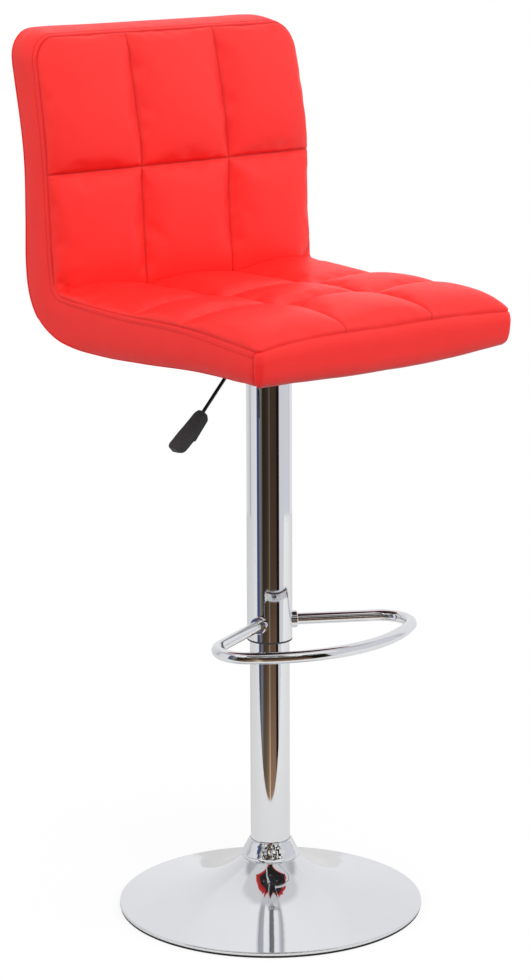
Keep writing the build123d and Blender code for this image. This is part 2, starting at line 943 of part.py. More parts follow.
def between_sides(inset):
    """Space between the two side faces, open at the top, bottom, front and rear."""
    opening = 60
    seen_from_front = front_face(inset)
    seen_from_front += Pos(0, back_top) * Rectangle(head_width - 2 * inset, opening)
    seen_from_front += Pos(0, seat_low) * Rectangle(crease_width - 2 * inset, opening)
    plan = plan_face(inset)
    plan += Pos(0, -seat_front) * Rectangle(front_width - 2 * inset, opening)
    plan += Pos(0, top_rear) * Rectangle(seat_width - 2 * inset, opening)
    seen_from_front = extrude(Plane.XZ * seen_from_front, 4 * top_rear, both=True)
    return seen_from_front & extrude(plan, 2 * back_top)


def pillows(corners, rise_y, rise_z):
    """Arcs from corner to corner, each bulging by its share of the rise."""
    arcs = []
    for start, end, share in corners:
        middle = ((start[0] + end[0]) / 2 + share * rise_y, (start[1] + end[1]) / 2 + share * rise_z)
        arcs.append(ThreePointArc(start, middle, end))
    return arcs


def seat_quilting(inset):
    """Space under the seat's nine pillows, three across by three along."""
    seam = seat_low + quilt_height - inset
    floor = seat_low - overshoot
    side = 3 * quilt_seam
    across = pillows(
        [
            ((-side, seam), (-quilt_seam, seam), 1),
            ((-quilt_seam, seam), (quilt_seam, seam), 1),
            ((quilt_seam, seam), (side, seam), 1),
        ],
        0,
        quilt_rise,
    )
    across.append(Polyline((side, seam), (2 * side, seam), (2 * side, floor)))
    across.append(Polyline((2 * side, floor), (-2 * side, floor), (-2 * side, seam), (-side, seam)))
    far = crease_depth + shell_bend
    along = pillows(
        [
            ((-seat_front, seam - quilt_front_drop), (-quilt_front_seam, seam), 1),
            ((-quilt_front_seam, seam), (quilt_rear_seam, seam), 1),
            ((quilt_rear_seam, seam), (crease_depth, seam), quilt_rear_rise / quilt_rise),
        ],
        0,
        quilt_rise,
    )
    along.append(Polyline((crease_depth, seam), (far, seam), (far, floor), (-seat_front, floor)))
    along.append(Line((-seat_front, floor), (-seat_front, seam - quilt_front_drop)))
    wide = extrude(Plane.XZ * make_face(across), 2 * top_rear, both=True)
    return wide & extrude(Plane.YZ * make_face(along), seat_width, both=True)


def back_quilting(inset):
    """Space behind the back's two rows of pillows."""
    low = seat_low + crease_height - quilt_rise
    seam = seat_low + back_quilt_height
    high = back_top + overshoot / 2
    near = back_seam_depth + inset
    middle = back_quilt_depth + inset
    far = back_seam_top_depth - 2 * quilt_front_drop + inset
    rows = pillows([((near, low), (middle, seam), 1), ((middle, seam), (far, high), 1)], -back_quilt_rise, 0)
    rows.append(Polyline((far, high), (2 * top_rear, high), (2 * top_rear, seat_low - 2 * overshoot)))
    rows.append(Polyline((2 * top_rear, seat_low - 2 * overshoot), (near, seat_low - 2 * overshoot), (near, low)))
    return extrude(Plane.YZ * make_face(rows), seat_width, both=True)


def crowned_prism(width, rise, flat, inset, depth, dip):
    """Face under a padded surface: dipped at the long seams, falling away to the side seams."""
    side = width / 2 - inset
    top = rise - inset
    shoulder = (side - 4, rise * 0.62 - inset)
    slope = ((side + flat) / 2 + 10, top)
    right = Bezier((side, -inset), shoulder, slope, (flat, top))
    left = Bezier((-flat, top), (-slope[0], top), (-shoulder[0], shoulder[1]), (-side, -inset))
    walls = Polyline((-side, -inset), (-side, -depth), (side, -depth), (side, -inset))
    if not dip:
        return make_face([right, Line((flat, top), (-flat, top)), left, walls])
    valley = top - dip
    shoulder_middle = ((flat + quilt_seam) / 2, top - dip / 4)
    pillow_arcs = [
        ThreePointArc((flat, top), shoulder_middle, (quilt_seam, valley)),
        ThreePointArc((quilt_seam, valley), (0, top), (-quilt_seam, valley)),
        ThreePointArc((-quilt_seam, valley), (-shoulder_middle[0], shoulder_middle[1]), (-flat, top)),
    ]
    return make_face([right, *pillow_arcs, left, walls])


def crowned_seat(inset):
    """Space under the crowned and quilted seat surface."""
    start_height = seat_low + seam_front_height - 40 * seam_slope
    face = crowned_prism(seat_width, seat_crown, seat_crown_flat, inset, seam_front_height + 60, 0)
    run = Vector(0, 1, seam_slope)
    start = Plane(origin=(0, -seat_front - 30, start_height), x_dir=(1, 0, 0), z_dir=(0, -1, 0))
    crowned = extrude(start * face, (seat_front + crease_depth + 60) * run.length, dir=run)
    return crowned & seat_quilting(inset)


def crowned_back(inset):
    """Space behind the crowned and quilted front of the back."""
    face = crowned_prism(seat_width, back_crown, back_crown_flat, inset, 4 * top_rear, back_quilt_dip)
    path = FilletPolyline(
        (0, back_seam_depth, seat_low - overshoot),
        (0, back_seam_lean_depth, seat_low + lean_start),
        (0, back_seam_top_depth, back_top + overshoot),
        radius=[back_seam_bend],
    )
    start = Plane(origin=path @ 0, x_dir=(-1, 0, 0), z_dir=path % 0)
    return sweep(start * face, path) & back_quilting(inset)


def padded_shell(inset):
    """The padded seat and back in one form, with every face moved in by the inset."""
    side = shell_side()
    if inset:
        side = offset(side, -inset)
    body = extrude(Plane.YZ * side, seat_width, both=True) & shell_limits(inset)
    return body & (crowned_seat(inset) + crowned_back(inset))


def board_path():
    """Centre line of the bent board, from the seat's front to the back's top."""
    height = board_low + board_thickness / 2
    depth = rear_foot - cover_fabric - rear_pad - board_thickness / 2
    lean = (top_rear - lean_rear) / (back_height - lean_start)
    top = back_top - board_top_drop
    top_depth = depth + lean_rear - rear_foot + lean * (top - seat_low - lean_start)
    bend = shell_bend - (rear_foot - depth)
    lean_bend = rear_lean_bend + (rear_foot - depth)
    return FilletPolyline(
        (0, -board_front, height),
        (0, depth, height),
        (0, depth + lean_rear - rear_foot, seat_low + lean_start),
        (0, top_depth, top),
        radius=[bend, lean_bend],
    )


def board_corners():
    """Seen from the front: the board's rounded top corners."""
    side = seat_width / 2
    head = head_width / 2 - board_inset
    top = back_top - board_top_drop
    corner = back_corner - board_inset
    return outline(
        [
            (-side, seat_low - overshoot, 0),
            (side, seat_low - overshoot, 0),
            (side, top - 3 * corner, 0),
            (head, top, corner),
            (-head, top, corner),
            (-side, top - 3 * corner, 0),
        ]
    )


def seat_board():
    """Bent plywood board that carries the seat and the back."""
    path = board_path()
    start = Plane(origin=path @ 0, x_dir=(1, 0, 0), z_dir=(0, 1, 0))
    section = start * Rectangle(seat_width, board_thickness)
    board = sweep(section, path) & between_sides(board_inset)
    board = board & extrude(Plane.XZ * board_corners(), 2 * top_rear, both=True)
    for x, y in bolt_places:
        board -= Pos(x, y, board_low) * Cylinder(nut_barrel_radius + weld_gap, 4 * board_thickness)
    return board


def side_prism(points):
    """Prism across the whole seat from (y, z) corners."""
    return extrude(Plane.YZ * make_face(Polyline(*points, close=True)), seat_width, both=True)


def behind_board():
    """Everything behind the middle of the board, from the bend up."""
    path = board_path()
    points = [path @ share for share in (0.45, 0.5, 0.53, 0.56, 0.59, 0.62, 0.68, 0.8, 0.9, 1.0)]
    corners = [(point.Y, point.Z) for point in points]
    corners.append((corners[-1][0] + 4, back_top + overshoot))
    corners.append((2 * top_rear, back_top + overshoot))
    corners.append((2 * top_rear, seat_low - overshoot))
    corners.append((corners[0][0], seat_low - overshoot))
    return side_prism(corners)


def below_crease():
    """Everything under the slanted plane where the seat's pad meets the back's."""
    return side_prism(
        [
            (-2 * seat_front, seat_low - overshoot),
            (-2 * seat_front, back_top),
            (crease_depth - 14, back_top),
            (crease_depth - 14, seat_low + crease_height + 6),
            (crease_depth + 16, seat_low + crease_height - 16),
            (2 * top_rear, seat_low + crease_height - 90),
            (2 * top_rear, seat_low - overshoot),
        ]
    )


def with_nut_pockets(foam):
    """The foam with room for the flanged nuts."""
    depth = 4 * nut_flange
    for x, y in bolt_places:
        foam -= Pos(x, y, board_high) * Cylinder(nut_flange_radius + 0.5, depth)
    return foam


def dust_cover():
    """Thin non-woven sheet under the board, with a hole for each bolt."""
    cover = dust_window(free_gap)
    for x, y in bolt_places:
        cover -= Pos(x, y, seat_low) * Cylinder(bolt_radius + 0.3, 4 * cover_fabric)
    return cover


def dust_window(inset):
    """Area of the dust cover on the underside, inside the turned-in fabric."""
    margin = dust_margin + inset
    near = -seat_front + front_lip + 4 + inset
    far = rear_foot - shell_bend - 6 - inset
    face = RectangleRounded(front_width - 2 * margin, far - near, 6)
    return Pos(0, (near + far) / 2, seat_low) * extrude(face, cover_fabric)


def save_shell():
    """Board, foam, fabric covers and dust cover, cut from nested copies of the shell."""
    board = seat_board()
    outer = padded_shell(0)
    rear_space = behind_board()
    padding = padded_shell(cover_fabric + weld_gap) - board
    front_padding = padding - rear_space
    crease_space = below_crease()
    save("seat_board", board)
    seat_foam = with_nut_pockets(front_padding & crease_space).solids()
    save("seat_foam", seat_foam.sort_by(lambda solid: solid.volume)[-1])
    save("back_foam", *(front_padding - crease_space).solids())
    save("rear_padding", *(padding & rear_space).solids())

    fabric = outer - padded_shell(cover_fabric)
    core = between_sides(cover_fabric)
    borders = (fabric - core).solids().sort_by(Axis.X)
    save("left_border", borders[0])
    save("right_border", borders[-1])
    middle = fabric & core
    beyond = 2 * seat_width
    lip_rear = -seat_front + panel_drop
    front_line = seat_low + seam_front_height + panel_seam
    drop = block((-beyond, -beyond, seat_low - overshoot), (beyond, lip_rear, front_line))
    save("front_border", *(middle & drop).solids())
    board_middle = board_low + board_thickness / 2
    under = block((-beyond, lip_rear, seat_low - overshoot), (beyond, 2 * top_rear, board_middle))
    rear_cover_space = rear_space + under
    save("rear_cover", *((middle - drop) & rear_cover_space - dust_window(0)).solids())
    save("quilted_cover", *(middle - drop - rear_cover_space).solids())
    save("dust_cover", dust_cover())


# ---------------------------------------------------------------- build

save("base_shell", base_shell())
save("base_ring", base_ring())
save("base_hub", base_hub())
save("hub_brace", hub_brace())
save("column_collar", column_collar())
save("lower_column", lower_column())
save("column_end_plate", column_end_plate())
save("column_guide_bush", column_guide_bush())
save("thrust_washer_lower", thrust_washer(bearing_low))
save("thrust_balls", *thrust_balls())
save("ball_cage", ball_cage())

save("thrust_washer_upper", thrust_washer(bearing_high))
save("piston_rod", piston_rod())
save("rod_clip", rod_clip())
save("rubber_bumper", rubber_bumper())
save("piston", piston())
save("piston_seal", piston_seal())
save("piston_nut", piston_nut())

save("gas_cylinder", gas_cylinder())
save("cylinder_guide", cylinder_guide())
save("taper_socket", taper_socket())
save("cover_tube", cover_tube())
save("cover_tube_cap", cover_tube_cap())
save("cover_tube_bush", cover_tube_bush())
save("footrest_tube", footrest_tube())
save("footrest_ferrules", *footrest_ferrules())
save("seat_plate", seat_plate())
save("lever_channel", lever_channel())
save("lever_pivot_pin", lever_pivot_pin())
save("seat_bolts", *seat_bolts())
save("seat_washers", *seat_washers())
save("seat_tee_nuts", *seat_tee_nuts())
save("release_pin", release_pin())
save("lever_rod", lever_rod())
save("lever_grip", lever_grip())
save_shell()
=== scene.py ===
"""Adjustable swivel stool: red quilted shell, plated gas-lift column, footrest and dished base."""

import json
import math
from contextlib import contextmanager

import bmesh
import bpy
import numpy as np
from mathutils import Matrix, Vector
from mathutils.kdtree import KDTree


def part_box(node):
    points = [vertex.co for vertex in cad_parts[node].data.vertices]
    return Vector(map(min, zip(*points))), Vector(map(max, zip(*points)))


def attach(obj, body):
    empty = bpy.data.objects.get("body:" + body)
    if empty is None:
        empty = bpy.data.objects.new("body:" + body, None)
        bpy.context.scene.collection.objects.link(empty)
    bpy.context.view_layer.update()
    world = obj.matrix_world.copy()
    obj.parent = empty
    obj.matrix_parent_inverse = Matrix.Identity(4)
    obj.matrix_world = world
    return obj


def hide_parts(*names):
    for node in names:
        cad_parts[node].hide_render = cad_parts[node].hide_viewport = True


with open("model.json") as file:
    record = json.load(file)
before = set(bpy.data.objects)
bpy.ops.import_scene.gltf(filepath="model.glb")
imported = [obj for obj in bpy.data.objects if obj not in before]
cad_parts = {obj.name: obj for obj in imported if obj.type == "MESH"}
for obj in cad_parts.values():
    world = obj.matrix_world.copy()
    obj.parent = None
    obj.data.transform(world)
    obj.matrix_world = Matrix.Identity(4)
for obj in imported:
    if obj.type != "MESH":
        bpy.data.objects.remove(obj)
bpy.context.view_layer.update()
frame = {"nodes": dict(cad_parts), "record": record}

MM = 0.001

# ------------------------------------------------------------------ sizes of the upholstery, in mm

SEAM_X = 72.0  # the two long quilting seams
SEAT_ROWS = (-208.5, -91.0, 6.0, 154.0)  # front seam, two cross seams, crease
BACK_ROWS = (781.0, 936.0, 1099.0)  # crease, cross seam, top seam
SEAT_RISE = ((10.5, 13.5), (10.5, 10.0), (8.0, 7.0))  # of each row's middle and side squares
BACK_RISE = 10.5
FRONT_Y = -208.5
SEAM_SKEW = 0.07  # the front cross seam runs a little askew
FOLD_TURNS = (-30, 24)  # degrees, of the folds at the crease's ends
SEAT_FOLD = (190.0, 146.0)  # where the folds start on the seat, across and along
BACK_FOLD = (190.0, 799.0)  # and on the back
PLAN_CORNER = 8.5  # radius of the seat's front corners, seen from above
FRONT_HALF = 212.4  # half width of the front panel
BAND_FRONT = -200.0  # the band's front end, where it meets the front panel
TOP_CORNER = 33.0  # radius of the back's top corners, at the front seam
REAR_CORNER = 37.0  # and at the rear edge
REAR_TOP = 1107.0
REAR_TOP_Y = 228.0
LOW_EDGE = 717.0  # the seat's front lower edge, at its middle
LOW_EDGE_HALF = 190.5  # how far it climbs evenly to each side
UNDERSIDE = 726.0
COVER_EASE = 0.007  # how much larger the quilted cover is cut than the shape it is sewn to
FILLING = 3.0  # pressure of the filling under the cover
BENDING = 0.6
SETTLE = 18  # steps for the cover to settle
CAP = 5.0  # furthest the cover moves while it settles
TUCK = 2.2  # how far a pad's edge is pulled in by its seam
CLOTH_INSET = 9.0  # from the rolled edge to the edge of the black cloth underneath
CLOTH_REAR = 122.0
ROLL = 7.0  # how far the seat's lower edge is rolled in
STITCH_INSET = 6.5  # from the edge seam to the row of stitches beside it

# steps of the band's line: up each side, round each top corner, and across the top
SIDE_STEPS = 150
CORNER_STEPS = 14
TOP_STEPS = 59


def eased(knots):
    """A smooth function through (place, value) knots."""
    place, value = np.array(knots, float).T
    slope = np.gradient(value, place)

    def value_at(x):
        x = np.clip(x, place[0], place[-1])
        i = np.clip(np.searchsorted(place, x) - 1, 0, len(place) - 2)
        h = place[i + 1] - place[i]
        t = (x - place[i]) / h
        a, b = value[i], value[i + 1]
        return (
            a * (1 + 2 * t) * (1 - t) ** 2
            + b * t * t * (3 - 2 * t)
            + slope[i] * h * t * (1 - t) ** 2
            + slope[i + 1] * h * t * t * (t - 1)
        )

    return value_at


seat_half_width = eased([(-208.5, 212.0), (-30, 213.3), (150, 214.8)])
back_half_width = eased(
    [(729, 214.0), (810, 215.8), (931, 217.3), (1020, 216.2), (1080, 213.2), (1109, 211.0)]
)
side_seam = eased(
    [(-208.5, 764.5), (-198, 765.7), (-170, 769.2), (-136, 773.4), (-100, 777.4), (-48, 780.2)]
    + [(0, 781), (30, 782), (90, 785.8), (150, 790.5)]
)
front_seam = eased(
    [(-212.4, 764.8), (-180, 769.2), (-141, 771.8), (-60, 772.3), (-10, 771.0), (60, 771.2)]
    + [(110, 770.4), (150, 768.8), (212.4, 765.2)]
)
back_seam = eased(
    [(781, 149.5), (794, 149.2), (810, 150), (860, 154), (900, 155.5), (962, 158), (1000, 163)]
    + [(1030, 168.5), (1060, 174.5), (1080, 178.5), (1109, 185)]
)
quilt_level = eased([(-208.5, 784), (-150, 788.5), (-91, 789), (6, 789), (90, 789), (150, 790)])
edge_lift = eased([(-208.5, 11), (-91, 8), (-20, 6), (40, 3), (100, 4), (128, 7), (150, 11)])


def line_shade(distance, width):
    """A narrow bell, 1 on a line and almost 0 two widths away from it."""
    return np.exp(-((distance / width) ** 2))


def rounded_half(y):
    """Half width of the seat's top with its front corners rounded in plan."""
    into = np.clip(PLAN_CORNER - (y - FRONT_Y), 0, PLAN_CORNER)
    return seat_half_width(y) - PLAN_CORNER + np.sqrt(PLAN_CORNER**2 - into**2)


def back_row_width(z):
    """Half width of the front of the back at a height, with its rounded top corners."""
    into = np.clip(z - (BACK_ROWS[-1] - TOP_CORNER), 0, TOP_CORNER)
    return back_half_width(z) - TOP_CORNER + np.sqrt(np.maximum(TOP_CORNER**2 - into**2, 0))


def seam_groove(distance):
    """Narrow dent that the thread pulls along a quilting seam."""
    return 2.4 * line_shade(distance, 1.6)


def painted_seam_shade(away, edge):
    """Painted seam shade: a thin dark line on the quilting seams and on the edge seam."""
    return np.clip(0.75 * line_shade(away, 0.9) + 0.6 * line_shade(edge, 0.6), 0, 1)


def cell(x, low, high, power=2.2):
    """Pillow profile between two seams: 0 on them and 1 half way."""
    t = np.clip((2 * x - low - high) / (high - low), -1, 1)
    return np.clip(1 - np.abs(t) ** power, 0, 1) ** 0.7


def rounded_off(share, power):
    """1 inside, and down to 0 over a rounded edge where the share reaches 1."""
    return np.sqrt(np.clip(1 - np.abs(share) ** power, 0, 1))


def lattice_noise(x, y, size, seed):
    """Smooth noise from -1 to 1 with features about as large as size."""
    table = np.random.RandomState(seed).uniform(-1, 1, (64, 64))
    u, v = np.asarray(x) / size, np.asarray(y) / size
    iu, iv = np.floor(u).astype(int), np.floor(v).astype(int)
    fu, fv = u - iu, v - iv
    fu, fv = fu * fu * (3 - 2 * fu), fv * fv * (3 - 2 * fv)
    here = table[iu % 64, iv % 64] * (1 - fu) + table[(iu + 1) % 64, iv % 64] * fu
    ahead = table[iu % 64, (iv + 1) % 64] * (1 - fu) + table[(iu + 1) % 64, (iv + 1) % 64] * fu
    return here * (1 - fv) + ahead * fv


def stations(edges, steps):
    """Places between edges, closer together near each edge, with a place on every edge."""
    t = np.linspace(0, 1, steps + 1)[:-1]
    t = 0.22 * t + 0.78 * (0.5 - 0.5 * np.cos(np.pi * t))
    spans = [a + (b - a) * t for a, b in zip(edges[:-1], edges[1:])]
    return np.concatenate(spans + [[edges[-1]]])


def grid_normals(points):
    """Unit normals of a grid of points."""
    normal = np.cross(np.gradient(points, axis=0), np.gradient(points, axis=1))
    return normal / np.maximum(np.linalg.norm(normal, axis=2, keepdims=True), 1e-9)


def run_length(points):
    """Length along a line of points, from its start to each of them."""
    return np.concatenate([[0], np.cumsum(np.linalg.norm(np.diff(points, axis=0), axis=1))])


# ------------------------------------------------------------------ making meshes


def placed(name, data):
    """A new object in the scene."""
    obj = bpy.data.objects.new(name, data)
    bpy.context.scene.collection.objects.link(obj)
    return obj


@contextmanager
def reworked(mesh):
    """A mesh opened for changes, and closed again after them."""
    work = bmesh.new()
    work.from_mesh(mesh)
    yield work
    work.to_mesh(mesh)
    work.free()


def covered(mesh, finish):
    """Give a mesh its finish and smooth shading."""
    mesh.materials.append(finish)
    mesh.polygons.foreach_set("use_smooth", [True] * len(mesh.polygons))
    mesh.update()


def smoothed(obj):
    """One level of subdivision over a pad."""
    smooth = obj.modifiers.new("smooth", "SUBSURF")
    smooth.levels = 1
    smooth.render_levels = 1
    return obj


def pad(name, outer, inner, seam=0.0):
    """Closed pad between two grids of points in mm; seam is the painted seam shade of each outer point.
    """
    n, m = outer.shape[:2]
    # painted seam shade on the outer points, none on the inner ones
    near = np.zeros((2, n, m))
    near[0] = seam
    points = np.concatenate([outer.reshape(-1, 3), inner.reshape(-1, 3)])
    index = np.arange(n * m).reshape(n, m)
    corners = (index[:-1, :-1], index[1:, :-1], index[1:, 1:], index[:-1, 1:])
    a, b, c, d = (corner.ravel() for corner in corners)
    faces = np.stack([a, b, c, d], 1).tolist()
    faces += (np.stack([d, c, b, a], 1) + n * m).tolist()
    rim = np.concatenate([index[:, 0], index[-1, 1:], index[-2::-1, -1], index[0, -2:0:-1]])
    for i, j in zip(rim.tolist(), np.roll(rim, -1).tolist()):
        faces.append([j, i, i + n * m, j + n * m])
    mesh = bpy.data.meshes.new(name)
    mesh.from_pydata((points * MM).tolist(), [], faces)
    # the seam attribute carries the painted shade to the leatherette's colour
    mesh.attributes.new("seam", "FLOAT", "POINT").data.foreach_set("value", near.ravel())
    with reworked(mesh) as work:
        bmesh.ops.remove_doubles(work, verts=work.verts, dist=0.000002)
        bmesh.ops.recalc_face_normals(work, faces=work.faces)
    covered(mesh, leatherette)
    return placed(name, mesh)


def tucked(points, way, depth):
    """The grid with its edges turned in towards a seam."""
    out = points.copy()
    normal = grid_normals(points) * way
    out[0] -= depth * normal[1]
    out[-1] -= depth * normal[-2]
    out[:, 0] -= depth * normal[:, 1]
    out[:, -1] -= depth * normal[:, -2]
    return out


# ------------------------------------------------------------------ finishes


def feed(links, socket, value):
    """Link another node's output to a socket, or set the socket's number or colour."""
    if isinstance(value, bpy.types.NodeSocket):
        links.new(value, socket)
    else:
        socket.default_value = (*value, 1) if socket.type == "RGBA" else value


def add(tree, kind, inputs=None, **settings):
    """A new node with its settings and its inputs."""
    made = tree.nodes.new(kind)
    for key, value in settings.items():
        setattr(made, key, value)
    for key, value in (inputs or {}).items():
        feed(tree.links, made.inputs[key], value)
    return made


def material(name):
    """A new finish, its node tree and its shader."""
    made = bpy.data.materials.new(name)
    made.use_nodes = True
    return made, made.node_tree, made.node_tree.nodes["Principled BSDF"]


def colour_mix(tree, factor, first, second):
    """Colour between two, by a factor."""
    return add(tree, "ShaderNodeMix", {0: factor, 6: first, 7: second}, data_type="RGBA").outputs[2]


def spread(tree, value, start, end, low=0.0, high=1.0):
    """A value from start to end spread over another range."""
    inputs = {0: value, 1: start, 2: end, 3: low, 4: high}
    return add(tree, "ShaderNodeMapRange", inputs).outputs[0]


def bump(tree, height, strength, distance, below=None):
    """Relief of a height, over the relief below it."""
    inputs = {"Strength": strength, "Distance": distance, "Height": height}
    if below is not None:
        inputs["Normal"] = below
    return add(tree, "ShaderNodeBump", inputs).outputs[0]


def object_place(tree, stretch=None):
    """Place on the piece, stretched where a grain runs one way."""
    place = add(tree, "ShaderNodeTexCoord").outputs["Object"]
    if stretch is None:
        return place
    return add(tree, "ShaderNodeMapping", {"Vector": place, "Scale": stretch}).outputs[0]


def noise(tree, place, scale, detail, rough):
    """Cloudy noise."""
    inputs = {"Vector": place, "Scale": scale, "Detail": detail, "Roughness": rough}
    return add(tree, "ShaderNodeTexNoise", inputs).outputs[0]


def pebbles(tree, place, scale, randomness=1.0):
    """Distance to the nearest of many scattered points."""
    inputs = {"Vector": place, "Scale": scale, "Randomness": randomness}
    return add(tree, "ShaderNodeTexVoronoi", inputs).outputs["Distance"]


def dress(tree, shader, colour, rough, relief=None):
    """Give a shader its colour, roughness and relief."""
    feed(tree.links, shader.inputs["Base Color"], colour)
    feed(tree.links, shader.inputs["Roughness"], rough)
    if relief is not None:
        feed(tree.links, shader.inputs["Normal"], relief)


def red_leatherette():
    """Coated fabric: fine pebble grain, soft sheen, faint mottling, and painted shade in the seams and
    folds.
    """
    made, tree, shader = material("red_leatherette")
    place = object_place(tree)
    mottle = noise(tree, place, 14, 4, 0.6)
    red = colour_mix(tree, mottle, (0.87, 0.019, 0.016), (0.93, 0.027, 0.022))
    # painted shade: the seam attribute darkens the red toward a dark red in the seams and folds
    painted_shade_amount = add(tree, "ShaderNodeAttribute", attribute_name="seam").outputs["Fac"]
    rough = spread(tree, noise(tree, place, 60, 4, 0.6), 0, 1, 0.40, 0.52)
    grain = bump(tree, pebbles(tree, place, 1100), 0.16, 0.00025)
    fine = bump(tree, noise(tree, place, 2600, 2, 0.5), 0.08, 0.0001, grain)
    dress(tree, shader, colour_mix(tree, painted_shade_amount, red, (0.42, 0.005, 0.005)), rough, fine)
    shader.inputs["Specular IOR Level"].default_value = 0.36
    return made


def bright_plate(name, scale, depth):
    """Bright plate with faint smudges and a trace of waviness from what is under it."""
    made, tree, shader = material(name)
    place = object_place(tree)
    cloud = noise(tree, place, 9, 5, 0.65)
    colour = colour_mix(tree, cloud, (0.80, 0.81, 0.83), (0.86, 0.87, 0.885))
    rough = spread(tree, noise(tree, place, 34, 5, 0.7), 0, 1, 0.02, 0.075)
    dress(tree, shader, colour, rough, bump(tree, noise(tree, place, scale, 2, 0.4), 1.0, depth))
    shader.inputs["Metallic"].default_value = 1.0
    return made


def plain_steel():
    """Turned or pressed steel with a fine brushed grain."""
    made, tree, shader = material("plain_steel")
    grain = noise(tree, object_place(tree, (1, 1, 14)), 160, 4, 0.6)
    colour = colour_mix(tree, grain, (0.42, 0.42, 0.43), (0.60, 0.60, 0.61))
    dress(tree, shader, colour, spread(tree, grain, 0, 1, 0.28, 0.45), bump(tree, grain, 0.15, 0.0001))
    shader.inputs["Metallic"].default_value = 1.0
    return made


def black_finish(name, dark, light, low, high, scale, strength):
    """A black surface with fine grain: paint, plastic or rubber."""
    made, tree, shader = material(name)
    place = object_place(tree)
    grain = noise(tree, place, scale, 3, 0.6)
    colour = colour_mix(tree, noise(tree, place, 40, 3, 0.5), dark, light)
    relief = bump(tree, grain, strength, 0.00015)
    dress(tree, shader, colour, spread(tree, grain, 0, 1, low, high), relief)
    return made


def bent_plywood():
    """Birch veneers, edge to edge."""
    made, tree, shader = material("bent_plywood")
    grain = noise(tree, object_place(tree, (10, 1, 1)), 30, 6, 0.6)
    colour = colour_mix(tree, grain, (0.50, 0.33, 0.18), (0.68, 0.50, 0.31))
    dress(tree, shader, colour, spread(tree, grain, 0, 1, 0.5, 0.7), bump(tree, grain, 0.2, 0.0003))
    return made


def spun_cloth():
    """Thin black non-woven sheet with a pressed dot pattern."""
    made, tree, shader = material("spun_cloth")
    place = object_place(tree)
    fibre = noise(tree, place, 900, 5, 0.7)
    colour = colour_mix(tree, fibre, (0.012, 0.012, 0.013), (0.035, 0.035, 0.037))
    dots = bump(tree, pebbles(tree, place, 520, 0.15), 0.4, 0.0003)
    dress(tree, shader, colour, 0.9, bump(tree, fibre, 0.3, 0.0001, dots))
    return made


def cut_foam():
    """Open cells of cut foam."""
    made, tree, shader = material("cut_foam")
    cells = pebbles(tree, object_place(tree), 900)
    colour = colour_mix(tree, cells, (0.70, 0.62, 0.42), (0.88, 0.82, 0.64))
    dress(tree, shader, colour, 0.95, bump(tree, cells, 0.5, 0.0004))
    return made


def red_thread():
    """Twisted sewing thread."""
    made, tree, shader = material("red_thread")
    inputs = {"Vector": object_place(tree), "Scale": 900.0, "Distortion": 2.0}
    twist = add(tree, "ShaderNodeTexWave", inputs).outputs["Fac"]
    dress(tree, shader, colour_mix(tree, twist, (0.66, 0.018, 0.016), (0.86, 0.030, 0.026)), 0.6)
    shader.inputs["Specular IOR Level"].default_value = 0.15
    return made


leatherette = red_leatherette()
thread = red_thread()
finishes = {
    "chrome_plate": bright_plate("chrome_plate", 26, 0.00002),
    "raw_steel": plain_steel(),
    "black_paint": black_finish(
        "black_paint", (0.008, 0.008, 0.009), (0.014, 0.014, 0.015), 0.22, 0.34, 700, 0.10
    ),
    "black_plastic": black_finish(
        "black_plastic", (0.034, 0.034, 0.035), (0.046, 0.046, 0.047), 0.55, 0.70, 1800, 0.12
    ),
    "black_rubber": black_finish(
        "black_rubber", (0.010, 0.010, 0.010), (0.020, 0.020, 0.020), 0.65, 0.85, 1200, 0.25
    ),
    "red_leather": leatherette,
    "plywood": bent_plywood(),
    "foam": cut_foam(),
    "black_cloth": spun_cloth(),
}

# the carried-over pieces, and the collar, whose plate is rougher underneath
slots = {part["node"]: part["material_slot"] for part in frame["record"]["subparts"]}
for name, obj in frame["nodes"].items():
    obj.data.materials.clear()
    obj.data.materials.append(finishes[slots[name]])
moulded = frame["nodes"]["column_collar"].data.materials
moulded.clear()
moulded.append(bright_plate("moulded_plate", 115, 0.0006))

# ------------------------------------------------------------------ seat and back pads


def across_quilting(x, half, middle_level, edge_level):
    """Level from the middle to the edge, which squares are in the middle, and their profile."""
    share = np.clip((np.abs(x) - SEAM_X) / (half - SEAM_X), 0, 1)
    level = middle_level * (1 - share) + edge_level * share
    middle = np.abs(x) <= SEAM_X
    profile = np.where(middle, cell(x, -SEAM_X, SEAM_X), cell(np.abs(x), SEAM_X, half))
    return level, middle, profile


def fold_window(out, up):
    """Where the folds at each end of the crease show, and how far the nearest one is."""
    away = np.hypot(out, up)
    turn = np.degrees(np.arctan2(up, out))
    fan = np.clip((turn + 50) / 12, 0, 1) * np.clip((42 - turn) / 8, 0, 1)
    lines = [np.abs(out * np.sin(a) - up * np.cos(a)) for a in np.radians(FOLD_TURNS)]
    return line_shade(away - 14, 8) * fan, np.min(lines, axis=0)


def crease_folds(out, up):
    """Folds fanning out to the edge seam from each end of the crease."""
    window, distance = fold_window(out, up)
    return (1.0 - 3.2 * line_shade(distance, 2.6)) * window


def painted_fold_shade(out, up):
    """Painted shade: dark lines at the bottom of the folds."""
    window, distance = fold_window(out, up)
    return 0.6 * window * line_shade(distance, 2.0) * (out > 0)


def from_fold(x, along, start):
    """Place on a pad counted from the start of its folds, the same on both sides."""
    return np.abs(x) - start[0], along - start[1]


